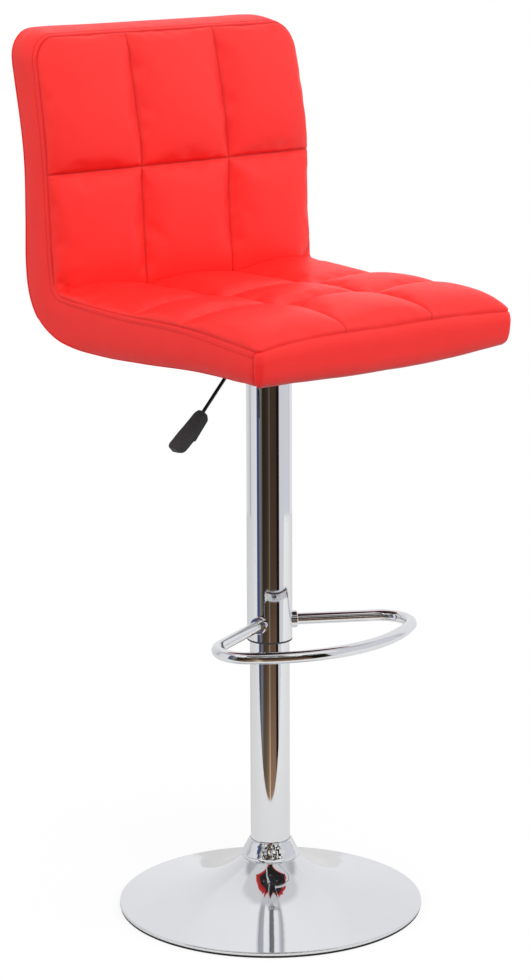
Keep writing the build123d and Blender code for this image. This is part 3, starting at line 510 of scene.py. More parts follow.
def seat_height(x, y, row):
    """Height of the quilted seat; row is the depth counted along the quilting."""
    half = rounded_half(y)
    front, first, second, _ = SEAT_ROWS
    side = side_seam(y)
    toward_front = np.clip((y - first) / (front - first), 0, 1)
    low = side + (front_seam(x) - side) * toward_front**4
    level, middle, across = across_quilting(x, half, quilt_level(y), side + edge_lift(y))
    puff = 0
    for start, end, (middle_rise, side_rise) in zip(SEAT_ROWS[:-1], SEAT_ROWS[1:], SEAT_RISE):
        inside = (row >= start) & (row < end + 1e-6)
        rise = np.where(middle, middle_rise, side_rise)
        puff = np.where(inside, rise * across * cell(row, start, end, 3.0), puff)
    toward_rear = np.clip((y - 95) / 50, 0, 1)
    edge = rounded_off(x / half, 26 - 8 * toward_rear) * rounded_off(toward_front, 12)
    lines = [np.abs(row - first), np.abs(row - second), np.abs(np.abs(x) - SEAM_X)]
    relief = crease_folds(*from_fold(x, y, SEAT_FOLD)) - seam_groove(np.min(lines, axis=0))
    return low + (level + puff + relief - low) * edge


def back_rise(x, z):
    """How far the quilted back stands forward of its edge seam."""
    half = back_row_width(z)
    crease, middle_seam, top = BACK_ROWS
    level, _, across = across_quilting(x, half, 7.5, 4.0)
    tuck = crease + 8 + 21 * np.clip((np.abs(x) - 191) / 20, 0, 1) ** 0.6
    puff = 0
    for start, end in ((tuck, middle_seam), (middle_seam, top)):
        v = np.clip((z - start) / (end - start), 0, 1)
        up = np.clip(np.sin(np.pi * v**0.72) ** 0.62, 0, 1)
        puff = np.where((z >= start) & (z <= end), BACK_RISE * across * up, puff)
    toward_top = np.clip((z - middle_seam) / (top - middle_seam), 0, 1)
    edge = rounded_off(x / half, 26) * rounded_off(toward_top, 16)
    seams = np.minimum(np.abs(z - middle_seam), np.abs(np.abs(x) - SEAM_X))
    relief = crease_folds(*from_fold(x, z, BACK_FOLD)) - seam_groove(seams)
    return (level + puff + relief) * edge


def column_places(half, steps):
    """Places across a row, with one on each long seam."""
    unit = stations((-1.0, 0.0, 1.0, 2.0), steps)
    left, middle, right = unit < 0, (unit >= 0) & (unit <= 1), unit > 1
    x = np.zeros_like(unit)
    x[left] = -SEAM_X + unit[left] * (half - SEAM_X)
    x[middle] = -SEAM_X + unit[middle] * 2 * SEAM_X
    x[right] = SEAM_X + (unit[right] - 1) * (half - SEAM_X)
    return x


def rippled(x, along, place, seams, size, seeds):
    """Soft puckers beside the seams, and the slow unevenness of the filling."""
    near = np.min([np.abs(along - s) if cross else np.abs(x - s) for cross, s in seams], axis=0)
    puckers = lattice_noise(x, along, 17.0, seeds[0]) * np.exp(-near / 13.0)
    return 0.9 * puckers + 0.8 * lattice_noise(x, place, size, seeds[1])


def pillowed(name, outer, inner, away, edge, fold):
    """A pad sewn down along its seams, its cover cut a little large and blown out by its filling."""
    held = (away < 1.2) | (fold_window(*fold)[0] > 0.15)
    held[0] = held[-1] = True
    held[:, 0] = held[:, -1] = True
    # painted shade along the seams and in the folds, which darkens the leatherette
    painted_shade = np.clip(painted_seam_shade(away, edge) + painted_fold_shade(*fold), 0, 1)
    obj = pad(name, outer, inner, painted_shade)
    blow_out(obj, outer, held)
    return smoothed(obj)


def blow_out(obj, outer, held):
    """Let a pad's cover settle as cloth, and keep the shape that it settles to."""
    mesh = obj.data
    start = np.empty(len(mesh.vertices) * 3)
    mesh.vertices.foreach_get("co", start)
    start = start.reshape(-1, 3)
    tree = KDTree(outer.size // 3)
    for i, point in enumerate(outer.reshape(-1, 3)):
        tree.insert(point * MM, i)
    tree.balance()
    held = held.ravel()
    pinned = []
    for i, point in enumerate(start):
        _, k, away = tree.find(point)
        if away > 0.00002 or held[k]:
            pinned.append(i)
    group = obj.vertex_groups.new(name="sewn")
    group.add(pinned, 1.0, "REPLACE")
    cloth = obj.modifiers.new("cloth", "CLOTH")
    settings = cloth.settings
    settings.quality = 5
    settings.mass = 0.15
    settings.tension_stiffness = 18
    settings.compression_stiffness = 18
    settings.shear_stiffness = 8
    settings.bending_stiffness = BENDING
    settings.air_damping = 2
    settings.vertex_group_mass = "sewn"
    settings.pin_stiffness = 1
    settings.shrink_min = -COVER_EASE
    settings.use_pressure = True
    settings.uniform_pressure_force = FILLING
    settings.effector_weights.gravity = 0
    cloth.collision_settings.use_collision = False
    cloth.collision_settings.use_self_collision = False
    cloth.point_cache.frame_end = SETTLE
    scene = bpy.context.scene
    for step in range(1, SETTLE + 1):
        scene.frame_set(step)
    settled = obj.evaluated_get(bpy.context.evaluated_depsgraph_get()).to_mesh()
    end = np.empty(len(settled.vertices) * 3)
    settled.vertices.foreach_get("co", end)
    moved = end.reshape(-1, 3) - start
    length = np.linalg.norm(moved, axis=1, keepdims=True)
    moved *= np.minimum(1, CAP * MM / np.maximum(length, 1e-9))
    print("cloth", obj.name, "moved up to", round(float(length.max()) * 1000, 2), "mm")
    obj.modifiers.remove(cloth)
    obj.vertex_groups.remove(group)
    scene.frame_set(1)
    mesh.vertices.foreach_set("co", (start + moved).ravel())
    mesh.update()


def make_seat_pad():
    """The quilted top of the seat."""
    rows = stations(SEAT_ROWS, 26)
    x = np.array([column_places(float(rounded_half(y)), 26) for y in rows])
    row = np.repeat(rows[:, None], x.shape[1], 1)
    near_first = np.interp(row, SEAT_ROWS, (0, 1, 0, 0))
    y = row - near_first * (4.0 + SEAM_SKEW * x)
    seams = [(True, SEAT_ROWS[1]), (True, SEAT_ROWS[2]), (False, -SEAM_X), (False, SEAM_X)]
    to_side = rounded_half(y) - np.abs(x)
    inside = np.clip(to_side / 30, 0, 1) * np.clip((y - FRONT_Y) / 30, 0, 1)
    z = seat_height(x, y, row) + inside * rippled(x, row, y, seams, 55.0, (3, 5))
    outer = tucked(np.stack([x, y, z], 2), -1, TUCK)
    inner = np.stack([x * 0.985, y * 0.985, side_seam(y) - 6], 2)
    away = np.minimum(np.abs(row - SEAT_ROWS[1]), np.abs(row - SEAT_ROWS[2]))
    away = np.minimum(away, np.abs(np.abs(x) - SEAM_X))
    edge = np.minimum(to_side, 1.5 * (y - FRONT_Y) + 0.4)
    return pillowed("seat_pad", outer, inner, away, edge, from_fold(x, y, SEAT_FOLD))


def make_back_pad():
    """The quilted front of the back."""
    _, middle_seam, top = BACK_ROWS
    rows = stations(BACK_ROWS, 32)
    x = np.array([column_places(float(back_row_width(z)), 26) for z in rows])
    z = np.repeat(rows[:, None], x.shape[1], 1)
    seams = [(True, middle_seam), (False, -SEAM_X), (False, SEAM_X)]
    to_side = back_row_width(z) - np.abs(x)
    inside = np.clip(to_side / 30, 0, 1) * np.clip((top - z) / 30, 0, 1)
    ripple = inside * rippled(x, z, z, seams, 60.0, (11, 13))
    y = back_seam(z) - back_rise(x, z) - ripple
    outer = tucked(np.stack([x, y, z], 2), -1, TUCK)
    inner = np.stack([x * 0.985, back_seam(z) + 8, z], 2)
    away = np.minimum(np.abs(z - middle_seam), np.abs(np.abs(x) - SEAM_X))
    edge = np.minimum(to_side, top - z)
    return pillowed("back_pad", outer, inner, away, edge, from_fold(x, z, BACK_FOLD))


# ------------------------------------------------------------------ side band, front panel, rear cover

# the band's two edges on the seat's side, as depth and height, from the front up to the top corner
INNER_SIDE = (
    [(-200, 765.5), (-170, 769.2), (-136, 773.4), (-100, 777.4), (-48, 780.2), (0, 781), (30, 782)]
    + [(90, 785.8), (125, 788.3), (142, 792), (149.3, 801), (151.5, 815), (154, 860), (155.5, 900)]
    + [(158, 962), (163, 1000), (168.5, 1030), (173, 1056), (175.5, 1066)]
)
OUTER_SIDE = (
    [(-200, 722.8), (-170, 725.2), (-100, 728.0), (0, 725.2), (80, 725.3), (118, 729.3)]
    + [(155, 739.8), (180, 756.2), (194, 778), (200, 800), (201.5, 820), (199.5, 880), (199, 940)]
    + [(201, 966), (207, 1002), (215, 1036), (223, 1068)]
)
# the rear cover's middle, from under the seat's front up to where the top corners start
REAR_MIDDLE = (
    [(-190, 719.5), (-170, 723.5), (-150, 726), (-50, 726), (60, 726), (117, 726), (150, 732.7)]
    + [(177, 751), (195.5, 778), (202, 811), (201, 870), (199.5, 930), (201.5, 966), (207.5, 1002)]
    + [(215.5, 1036), (223.5, 1068)]
)
# how much the seat's front lower edge sags, across the seat
SAG_AT = (-212, -180, -150, -110, -60, 0, 50, 90, 140, 180, 212)
SAG = (3.8, 2.6, 0.6, 0, 0, 0, 0.9, 1.8, 2.1, 2.5, 2.5)


def through(points, count):
    """Smooth line through points, as count even places."""
    points = np.array(points, float)
    run = run_length(points)
    place = np.linspace(0, run[-1], count)
    columns = range(points.shape[1])
    line = np.stack([eased(np.stack([run, points[:, k]], 1))(place) for k in columns], 1)
    step = run_length(line)
    even = np.linspace(0, step[-1], count)
    return np.stack([np.interp(even, step, line[:, k]) for k in columns], 1)


def half_width_at(y, z):
    """Half width of the whole shell at a depth and height."""
    seat = seat_half_width(np.minimum(y, 150.0)) + np.clip((y - 150) * 0.3, 0, 4)
    return np.minimum(seat, back_half_width(z))


def under_roll(y):
    """How far the band's lower edge is rolled in under the seat."""
    t = np.clip((y - 60) / 90, 0, 1)
    return ROLL * (1 - t * t * (3 - 2 * t))


def lower_edge(x):
    """Height of the seat's front lower edge."""
    t = np.clip(np.abs(x) / LOW_EDGE_HALF, 0, 1)
    climb = 8 * t**2 + 1.6 * np.clip((np.abs(x) - LOW_EDGE_HALF) / 22, 0, 1)
    return LOW_EDGE + climb - np.interp(x, SAG_AT, SAG)


def nearing_front(y):
    """0 under the seat, and 1 at its front edge."""
    return np.clip((-150 - y) / 35, 0, 1)


def band_edge(line, corner, top, rear):
    """One edge of the band, from the front corner on -X, over the back, to the one on +X."""
    y, z = through(line, SIDE_STEPS).T
    x = half_width_at(y, z)
    if rear:
        x = x - 1.0 - under_roll(y)
    angles = np.radians(np.linspace(0, 90, CORNER_STEPS + 1))[1:]
    corner_x = x[-1] - corner + corner * np.cos(angles)
    corner_z = top - corner + corner * np.sin(angles)
    corner_y = y[-1] + (REAR_TOP_Y - y[-1]) * np.sin(angles) if rear else back_seam(corner_z)
    turn = np.stack([corner_x, corner_y, corner_z], 1)
    over = np.repeat(turn[-1:], TOP_STEPS, 0)
    over[:, 0] = np.linspace(corner_x[-1], -corner_x[-1], TOP_STEPS + 1)[1:]
    half = np.concatenate([np.stack([x, y, z], 1), turn])
    mirrored = half[::-1] * (-1, 1, 1)
    return np.concatenate([half, over[:-1], mirrored]) * (-1, 1, 1)


def outer_edge():
    return band_edge(OUTER_SIDE, REAR_CORNER, REAR_TOP, True)


def make_band():
    """The plain band round the seat's sides and over the back, and the line of its stitches."""
    inner = band_edge(INNER_SIDE, TOP_CORNER, BACK_ROWS[-1], False)
    outer = outer_edge()
    steps = stations((0.0, 1.0), 16)
    points = inner[:, None] * (1 - steps[None, :, None]) + outer[:, None] * steps[None, :, None]
    normal = grid_normals(points)
    width = np.linalg.norm(outer - inner, axis=1)[:, None]
    along = run_length(inner)[:, None]
    middle = np.sin(np.pi * steps)[None, :]
    from_stitches = steps[None, :] * width - STITCH_INSET
    groove = 0.7 * line_shade(from_stitches, 1.4)
    wave = 0.55 * lattice_noise(along + 0 * steps, steps * width, 26.0, 21) * middle
    roll = np.where(outer[:, 2] < 760, under_roll(outer[:, 1]), 0)[:, None]
    section = roll * (steps - steps**5)[None, :]
    points = points + (2.2 * middle**0.8 + section - groove + wave)[..., None] * normal
    share = np.clip(STITCH_INSET / width, 0, 1)[:, 0]
    k = np.searchsorted(steps, share)
    part = ((share - steps[k - 1]) / (steps[k] - steps[k - 1]))[:, None]
    i = np.arange(len(points))
    row = points[i, k - 1] * (1 - part) + points[i, k] * part + 0.15 * normal[i, k]
    # painted shade along the band's inner edge seam and the groove of its stitch row
    sewn = 0.6 * line_shade(steps[None, :] * width, 0.9) + 0.25 * line_shade(from_stitches, 1.0)
    return smoothed(pad("edge_band", tucked(points, 1, 2.0), points - 3.0 * normal, sewn)), row


def make_front_panel():
    """The front panel, wrapped round the two corners and rolled under the seat's front edge."""
    turn = np.radians(np.linspace(0, 90, 9))[1:]
    corner_x = FRONT_HALF - 0.1 - PLAN_CORNER * (1 - np.cos(turn))
    corner = np.stack([corner_x, FRONT_Y + PLAN_CORNER * (1 - np.sin(turn))], 1)
    front = [(x, FRONT_Y) for x in stations((0.0, corner_x[-1]), 44)[::-1][1:]]
    half = np.concatenate([[(FRONT_HALF, BAND_FRONT)], corner, front])
    plan = np.concatenate([half * (-1, 1), half[::-1][1:]])
    outward = np.stack([np.gradient(plan[:, 1]), -np.gradient(plan[:, 0])], 1)
    outward /= np.linalg.norm(outward, axis=1, keepdims=True)
    count = 26
    rows = []
    for (x, y), (nx, ny) in zip(plan, outward):
        top = float(front_seam(x)) + 0.2
        low = float(lower_edge(x))
        upper = [(0, top), (1.8, top - 12), (1.2, (top + low) / 2 + 1)]
        rolled = [(-0.3, 11), (-3.0, 4), (-8.0, 0.6), (-18.0, 0.7), (-26.0, 2.2)]
        side = through(upper + [(out, low + up) for out, up in rolled], count)
        limit = np.interp(abs(x), [185, FRONT_HALF], [26.0, ROLL + 1])
        under = -ROLL + (side[:, 0] + ROLL) * (limit - ROLL) / 19
        shift = np.where(side[:, 0] > -ROLL, side[:, 0], under)
        rows.append(np.stack([x + nx * shift, y + ny * shift, side[:, 1]], 1))
    points = np.array(rows)
    normal = -grid_normals(points)
    share = np.linspace(0, 1, count)[None, :]
    away = 1 - np.abs(plan[:, 0] / FRONT_HALF)[:, None] ** 10
    bulge = 1.6 * np.sin(np.pi * np.clip(share * 1.5, 0, 1)) * away
    wave = 0.6 * lattice_noise(plan[:, :1] + 0 * share, share * 80, 32.0, 33)
    points = points + (bulge + wave * np.sin(np.pi * share) * away)[..., None] * normal
    ends = run_length(plan)
    ends = np.minimum(ends, ends[-1] - ends)[:, None]
    # painted shade along the panel's two end seams and its top seam
    sewn = 0.8 * line_shade(ends, 1.0) + 0.4 * line_shade(share * 50, 0.8)
    return smoothed(pad("front_panel", tucked(points, -1, 2.0), points - 3.0 * normal, sewn))


def make_rear_cover():
    """The cover of the seat's underside and the back's rear, turned over at the band."""
    edge = outer_edge()[: SIDE_STEPS + CORNER_STEPS] * (-1, 1, 1)
    middle = through(REAR_MIDDLE, SIDE_STEPS)
    level = np.maximum(middle[:, 1], UNDERSIDE)
    middle[:, 1] = np.where(middle[:, 0] > -150, level, middle[:, 1])
    rise = edge[SIDE_STEPS:, 2]
    top_y = np.interp(rise, [1068, 1090, 1102, 1107], [223.5, 230.5, 231.0, REAR_TOP_Y])
    middle = np.concatenate([middle, np.stack([top_y, rise], 1)])
    across = stations((-1.0, 0.0, 1.0), 30)
    edge[:, 2] += 1.8 * (edge[:, 2] < 760)
    weight = (np.abs(across) ** 8)[None, :, None]
    line = middle[:, None] * (1 - weight) + edge[:, None, 1:] * weight
    points = np.concatenate([(edge[:, :1] * across[None, :])[..., None], line], 2)
    points = points[points[:, 0, 1] > -195]
    x, y, z = points[..., 0], points[..., 1], points[..., 2]
    z += (lower_edge(x) + 5.0 - z) * nearing_front(y)
    normal = -grid_normals(points)
    rear = np.clip((z - 760) / 60, 0, 1)
    crown = 2.5 * (1 - np.abs(across) ** 2.5)[None, :]
    wave = 0.7 * lattice_noise(x, z + y, 60.0, 41) * (1 - np.abs(across) ** 8)[None, :]
    points = points + ((crown + wave) * rear)[..., None] * normal
    return smoothed(pad("rear_cover_sheet", tucked(points, -1, 1.2), points - 2.0 * normal))


def make_dust_cloth():
    """Thin black sheet stapled all over the underside, round the steel plate."""
    plate_low, plate_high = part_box("seat_plate")
    x = np.linspace(-1, 1, 91) * (seat_half_width(0.0) - ROLL - CLOTH_INSET)
    x = np.unique(np.concatenate([x, [plate_low.x / MM - 1, plate_high.x / MM + 1]]))
    y = np.linspace(FRONT_Y + CLOTH_INSET, CLOTH_REAR, 81)
    y = np.unique(np.concatenate([y, [plate_low.y / MM - 1, plate_high.y / MM + 1]]))
    grid_x, grid_y = np.meshgrid(x, y, indexing="ij")
    edge = np.minimum(x[-1] - np.abs(grid_x), np.minimum(grid_y - y[0], y[-1] - grid_y))
    toward_front = nearing_front(grid_y)
    side = np.abs(grid_x / x[-1]) ** 8
    flat = 723.3 * (1 - side) + 727.8 * side + 1.5 * np.clip((grid_y - 112) / 10, 0, 1)
    front = np.minimum(lower_edge(grid_x) + 0.5, flat)
    level = flat * (1 - toward_front) + front * toward_front
    slack = np.clip(edge / 25, 0, 1) * (0.6 + 0.5 * lattice_noise(grid_x, grid_y, 34.0, 51))
    points = np.stack([grid_x, grid_y, level - slack], 2)
    n, m = grid_x.shape
    index = np.arange(n * m).reshape(n, m)
    faces = []
    for i in range(n - 1):
        for j in range(m - 1):
            middle_x, middle_y = (x[i] + x[i + 1]) / 2 * MM, (y[j] + y[j + 1]) / 2 * MM
            over_plate = plate_low.x < middle_x < plate_high.x and plate_low.y < middle_y < plate_high.y
            if not over_plate:
                corners = index[[i, i, i + 1, i + 1], [j, j + 1, j + 1, j]]
                faces.append(corners.tolist())
    mesh = bpy.data.meshes.new("dust_cloth")
    mesh.from_pydata((points.reshape(-1, 3) * MM).tolist(), [], faces)
    with reworked(mesh) as work:
        loose = [v for v in work.verts if not v.link_faces]
        bmesh.ops.delete(work, geom=loose, context="VERTS")
        bmesh.ops.solidify(work, geom=work.faces[:], thickness=0.0003)
        bmesh.ops.recalc_face_normals(work, faces=work.faces)
    covered(mesh, finishes["black_cloth"])
    return placed("dust_cloth", mesh)


# ------------------------------------------------------------------ stitches

STITCH = {"Pitch": 0.0042, "Stitch length": 0.0032, "Thread radius": 0.00035}


def stitch_tree():
    """Thread stitches laid end to end along a line."""
    tree = bpy.data.node_groups.new("stitches", "GeometryNodeTree")
    face = tree.interface
    face.new_socket("Line", in_out="INPUT", socket_type="NodeSocketGeometry")
    for label in STITCH:
        face.new_socket(label, in_out="INPUT", socket_type="NodeSocketFloat")
    face.new_socket("Stitches", in_out="OUTPUT", socket_type="NodeSocketGeometry")
    given = add(tree, "NodeGroupInput").outputs
    curve = add(tree, "GeometryNodeMeshToCurve", {0: given["Line"]})
    inputs = {"Curve": curve.outputs[0], "Length": given["Pitch"]}
    even = add(tree, "GeometryNodeResampleCurve", inputs, mode="LENGTH")
    inputs = {"Direction": (0, 0, 1), "Length": given["Stitch length"]}
    single = add(tree, "GeometryNodeCurvePrimitiveLine", inputs, mode="DIRECTION")
    inputs = {"Resolution": 6, "Radius": given["Thread radius"]}
    section = add(tree, "GeometryNodeCurvePrimitiveCircle", inputs)
    inputs = {"Curve": single.outputs[0], "Profile Curve": section.outputs[0], "Fill Caps": True}
    tube = add(tree, "GeometryNodeCurveToMesh", inputs)
    inputs = {"Vector": add(tree, "GeometryNodeInputTangent").outputs[0]}
    align = add(tree, "FunctionNodeAlignRotationToVector", inputs, axis="Z")
    inputs = {"Points": even.outputs[0], "Instance": tube.outputs[0], "Rotation": align.outputs[0]}
    place = add(tree, "GeometryNodeInstanceOnPoints", inputs)
    real = add(tree, "GeometryNodeRealizeInstances", {0: place.outputs[0]})
    inputs = {"Geometry": real.outputs[0], "Material": thread}
    sewn = add(tree, "GeometryNodeSetMaterial", inputs)
    add(tree, "NodeGroupOutput", {0: sewn.outputs[0]})
    return tree


def stitched(name, line):
    """Plain mesh of stitches along a line of points."""
    mesh = bpy.data.meshes.new(name)
    edges = [(i, i + 1) for i in range(len(line) - 1)]
    mesh.from_pydata((line * MM).tolist(), edges, [])
    obj = placed(name, mesh)
    maker = obj.modifiers.new("stitches", "NODES")
    maker.node_group = stitches
    for item in stitches.interface.items_tree:
        if item.name in STITCH:
            maker[item.identifier] = STITCH[item.name]
    graph = bpy.context.evaluated_depsgraph_get()
    graph.update()
    plain = bpy.data.meshes.new_from_object(obj.evaluated_get(graph))
    obj.modifiers.remove(maker)
    obj.data = plain
    return obj


stitches = stitch_tree()

# ------------------------------------------------------------------ putting the seat together

seat_pad = make_seat_pad()
back_pad = make_back_pad()
edge_band, band_row = make_band()
front_panel = make_front_panel()
rear_sheet = make_rear_cover()
dust_cloth = make_dust_cloth()
band_stitches = stitched("band_stitches", band_row)

for piece, nodes in (
    (seat_pad, ("quilted_cover", "seat_foam")),
    (back_pad, ("back_foam",)),
    (edge_band, ("left_border", "right_border")),
    (front_panel, ("front_border",)),
    (rear_sheet, ("rear_cover", "rear_padding")),
    (band_stitches, ()),
):
    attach(piece, "seat")
    if nodes:
        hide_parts(*nodes)
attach(dust_cloth, "seat")
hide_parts("dust_cover")

# ------------------------------------------------------------------ the studio


def at(degrees):
    """Place on a ramp of a turn about the stool from the viewer's side."""
    return 0.5 + degrees / 360


BLACK, WHITE = (0, 0, 0), (1, 1, 1)
AMBIENT = 0.80
BOUNCE = 0.45  # how much light the sheet throws back up
SHEET_IN_METAL = 0.72  # how pale the sheet looks in bright metal
SHEET_TONE = 0.90  # and to the eye, near the stool
SHEET_EDGE = 0.45  # the white sheet's near edge from the stool
ROOM_NEAR = (-0.6845, -0.7290, 0.0)
ROOM_RIGHT = (0.7290, -0.6845, 0.0)
CEILING = (0.66, 0.66, 0.68)
SPOT = (0.95, 0.95, 0.93)
CALM_GREY = (0.13, 0.13, 0.145)
BLUE, PALE_BLUE = (0.055, 0.075, 0.19), (0.060, 0.080, 0.19)
# how the room looks in bright metal, turning about the stool
ROOM = (
    (0.0, (0.88, 0.88, 0.89)),
    (at(-128), (0.72, 0.72, 0.74)),
    (at(-114), (0.66, 0.66, 0.68)),
    (at(-108), (0.42, 0.42, 0.45)),
    (at(-101), (0.74, 0.74, 0.76)),
    (at(-66), (0.82, 0.82, 0.84)),
    (at(-64), BLUE),
    (at(-52), PALE_BLUE),
    (at(-49), (0.22, 0.22, 0.21)),
    (at(-38), (0.13, 0.12, 0.10)),
    (at(-34), (0.020, 0.016, 0.013)),
    (at(-17), (0.034, 0.022, 0.015)),
    (at(-4), (0.055, 0.036, 0.022)),
    (at(0), (0.15, 0.12, 0.09)),
    (at(4), (0.055, 0.036, 0.024)),
    (at(34), (0.050, 0.030, 0.020)),
    (at(37), (0.008, 0.006, 0.005)),
    (at(49), (0.008, 0.006, 0.005)),
    (at(51), (0.68, 0.68, 0.71)),
    (at(112), (0.70, 0.70, 0.74)),
    (at(118), (0.58, 0.58, 0.61)),
    (at(126), (0.84, 0.84, 0.86)),
)
# the same turn low on the walls, without the blue
CALM_ROOM = [(turn, CALM_GREY if tone in (BLUE, PALE_BLUE) else tone) for turn, tone in ROOM]
# and higher up
HIGH_ROOM = (
    (0.0, (0.90, 0.90, 0.91)),
    (at(-122), (0.80, 0.80, 0.82)),
    (at(-112), (0.42, 0.44, 0.46)),
    (at(-60), (0.52, 0.54, 0.56)),
    (at(-55), (1.05, 1.05, 1.05)),
    (at(-14), (1.05, 1.05, 1.05)),
    (at(-9), (0.18, 0.19, 0.19)),
    (at(24), (0.22, 0.22, 0.22)),
    (at(29), (1.05, 1.05, 1.05)),
    (at(66), (1.00, 1.00, 1.00)),
    (at(74), (0.68, 0.68, 0.70)),
    (at(112), (0.46, 0.46, 0.48)),
    (at(122), (0.80, 0.80, 0.82)),
    (1.0, (0.90, 0.90, 0.91)),
)
# how much brighter the room's floor is near the stool, out to its far end
FLOOR_FALL = (
    (0.0, (5.4, 5.2, 4.8)),
    (0.18, (3.4, 3.2, 3.0)),
    (0.5, (1.4, 1.4, 1.4)),
    (1.0, WHITE),
)


def light_path(tree, label):
    """Whether a ray is of one kind."""
    return add(tree, "ShaderNodeLightPath").outputs[label]


def room_angle(tree, place):
    """Turn about the stool from the viewer's side, and how far toward the viewer a place is."""
    across, near = (
        add(tree, "ShaderNodeVectorMath", {0: place, 1: axis}, operation="DOT_PRODUCT").outputs["Value"]
        for axis in (ROOM_RIGHT, ROOM_NEAR)
    )
    turn = add(tree, "ShaderNodeMath", {0: across, 1: near}, operation="ARCTAN2").outputs[0]
    return spread(tree, turn, -math.pi, math.pi), near


def ramp(tree, value, stops):
    """Colour of a value on a ramp."""
    made = add(tree, "ShaderNodeValToRGB", {0: value})
    elements = made.color_ramp.elements
    for element, (place, colour) in zip(elements, stops[:2]):
        element.position = place
        element.color = (*colour, 1)
    for place, colour in stops[2:]:
        elements.new(place).color = (*colour, 1)
    return made.outputs[0]


def rising(tree, value, start, end):
    """0 before the start, and 1 after the end."""
    return ramp(tree, value, ((start, BLACK), (end, WHITE)))


def sector(tree, angle, start, full, fading, end):
    """1 between two turns about the stool, and 0 outside them."""
    stops = ((at(start), BLACK), (at(full), WHITE), (at(fading), WHITE), (at(end), BLACK))
    return ramp(tree, angle, stops)


def times(tree, first, second):
    """Product of two colours."""
    return add(tree, "ShaderNodeVectorMath", {0: first, 1: second}, operation="MULTIPLY").outputs[0]


def either(tree, factor, first, second):
    """One light or the other, by a factor."""
    return add(tree, "ShaderNodeMixShader", {0: factor, 1: first, 2: second}).outputs[0]


def disc(name, radius, height=0.0, count=96):
    """A flat round sheet."""
    mesh = bpy.data.meshes.new(name)
    angles = np.linspace(0, 2 * math.pi, count, endpoint=False)
    rim = [(radius * math.cos(a), radius * math.sin(a), height) for a in angles]
    mesh.from_pydata(rim, [], [list(range(count))])
    return placed(name, mesh)


def make_floor():
    """White sheet under the stool, straight along its near edge."""
    floor = disc("studio_floor", 2.2)
    with reworked(floor.data) as work:
        bmesh.ops.bisect_plane(
            work,
            geom=work.verts[:] + work.edges[:] + work.faces[:],
            plane_co=Vector(ROOM_NEAR) * SHEET_EDGE,
            plane_no=ROOM_NEAR,
            clear_outer=True,
        )
    made, tree, shader = material("white_floor")
    metal = light_path(tree, "Is Glossy Ray")
    eye = light_path(tree, "Is Camera Ray")
    unseen = colour_mix(tree, metal, (BOUNCE,) * 3, (SHEET_IN_METAL,) * 3)
    dress(tree, shader, colour_mix(tree, eye, unseen, (SHEET_TONE,) * 3), 0.9)
    shader.inputs["Specular IOR Level"].default_value = 0.0
    glow = add(tree, "ShaderNodeEmission", {"Strength": 1.0}).outputs[0]
    reach = add(tree, "ShaderNodeVectorMath", {0: object_place(tree)}, operation="LENGTH")
    fade = spread(tree, reach.outputs["Value"], 0.20, 0.55, 0.80, 1.0)
    share = add(tree, "ShaderNodeMath", {0: eye, 1: fade}, operation="MULTIPLY").outputs[0]
    surface = tree.nodes["Material Output"].inputs["Surface"]
    feed(tree.links, surface, either(tree, share, shader.outputs[0], glow))
    floor.data.materials.append(made)


def make_room_floor():
    """The room's own floor, seen only in bright metal: brown on the viewer's side, pale elsewhere."""
    floor = disc("room_floor", 12.0, -0.004)
    floor.visible_camera = False
    floor.visible_diffuse = False
    floor.visible_shadow = False
    made, tree, shader = material("room_floor")
    tree.nodes.remove(shader)
    angle, near = room_angle(tree, object_place(tree))
    fall = ramp(tree, spread(tree, near, 0.5, 2.6), FLOOR_FALL)
    lit = colour_mix(tree, sector(tree, angle, -36, -33, 36, 39), WHITE, fall)
    glow = add(tree, "ShaderNodeEmission", {0: times(tree, ramp(tree, angle, ROOM), lit)})
    feed(tree.links, tree.nodes["Material Output"].inputs["Surface"], glow.outputs[0])
    floor.data.materials.append(made)


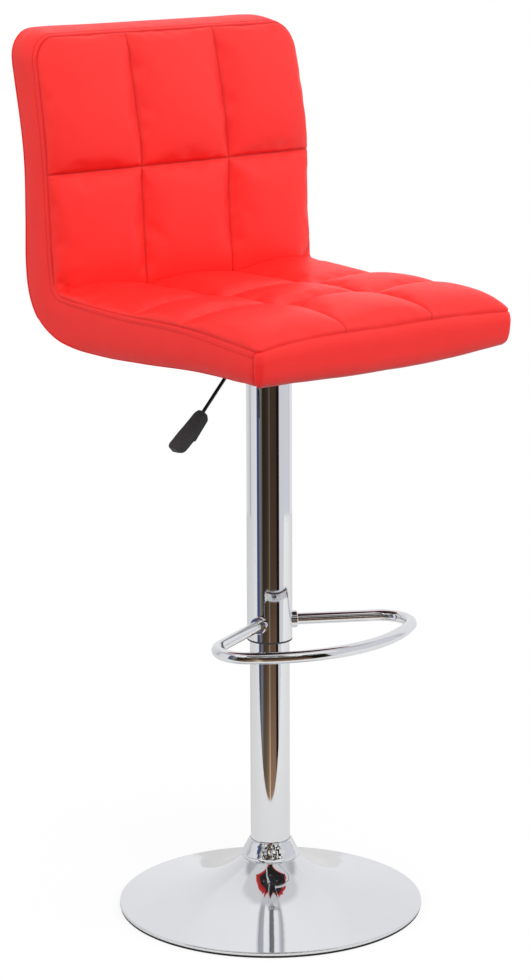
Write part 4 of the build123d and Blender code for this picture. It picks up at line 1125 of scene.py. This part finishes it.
def make_world():
    """White room for the eye, and for bright metal a room that is dark behind the viewer."""
    world = bpy.data.worlds.new("studio")
    bpy.context.scene.world = world
    world.use_nodes = True
    tree = world.node_tree
    place = add(tree, "ShaderNodeTexCoord").outputs["Generated"]
    angle, _ = room_angle(tree, place)
    height = add(tree, "ShaderNodeSeparateXYZ", {0: place}).outputs[2]
    wall = rising(tree, height, 0.36, 0.44)
    low = colour_mix(tree, wall, ramp(tree, angle, CALM_ROOM), ramp(tree, angle, ROOM))
    bright = rising(tree, noise(tree, place, 11.0, 2.0, 0.6), 0.52, 0.56)
    spots = times(tree, times(tree, bright, wall), sector(tree, angle, -50, -40, 55, 65))
    spotted = colour_mix(tree, spots, low, SPOT)
    high = ramp(tree, angle, HIGH_ROOM)
    upper = colour_mix(tree, rising(tree, height, 0.60, 0.66), spotted, high)
    room = colour_mix(tree, rising(tree, height, 0.84, 0.88), upper, CEILING)
    plain = tree.nodes["Background"]
    plain.inputs["Strength"].default_value = AMBIENT
    feed(tree.links, plain.inputs["Color"], spread(tree, height, -0.3, 0.25, 0.35, 1.0))
    mirrored = add(tree, "ShaderNodeBackground", {"Color": room}).outputs[0]
    seen = add(tree, "ShaderNodeBackground", {"Color": WHITE}).outputs[0]
    light = either(tree, light_path(tree, "Is Glossy Ray"), plain.outputs[0], mirrored)
    light = either(tree, light_path(tree, "Is Camera Ray"), light, seen)
    feed(tree.links, tree.nodes["World Output"].inputs["Surface"], light)


def make_lamp(name, place, target, power):
    """Large soft lamp that bright metal doesn't show."""
    lamp = bpy.data.lights.new(name, "AREA")
    lamp.shape = "DISK"
    lamp.size = 2.6
    lamp.energy = power
    obj = placed(name, lamp)
    direction = Vector(target) - Vector(place)
    obj.rotation_euler = direction.to_track_quat("-Z", "Y").to_euler()
    obj.location = place
    obj.visible_glossy = False


def make_camera():
    """Long lens, a little above the seat, on the sitter's front right."""
    lens = bpy.data.cameras.new("camera")
    lens.sensor_width = 36
    lens.lens = 107.05
    lens.clip_end = 50
    camera = placed("camera", lens)
    right = Vector((0.728696, -0.684828, -0.003611))
    up = Vector((0.153139, 0.157804, 0.975524))
    turn = Matrix((right, up, right.cross(up))).transposed().to_4x4()
    camera.matrix_world = Matrix.Translation((-2.41634, -2.56765, 1.33530)) @ turn
    bpy.context.scene.camera = camera


make_floor()
make_room_floor()
make_world()
make_lamp("key_lamp", (-1.2, -2.8, 3.4), (0, 0, 0.8), 72)
make_lamp("fill_lamp", (2.6, -2.0, 2.2), (0, 0, 0.8), 28)
make_lamp("side_lamp", (-3.0, 0.3, 1.2), (0, 0, 0.9), 18)
make_camera()
bpy.context.scene.view_settings.view_transform = "Standard"
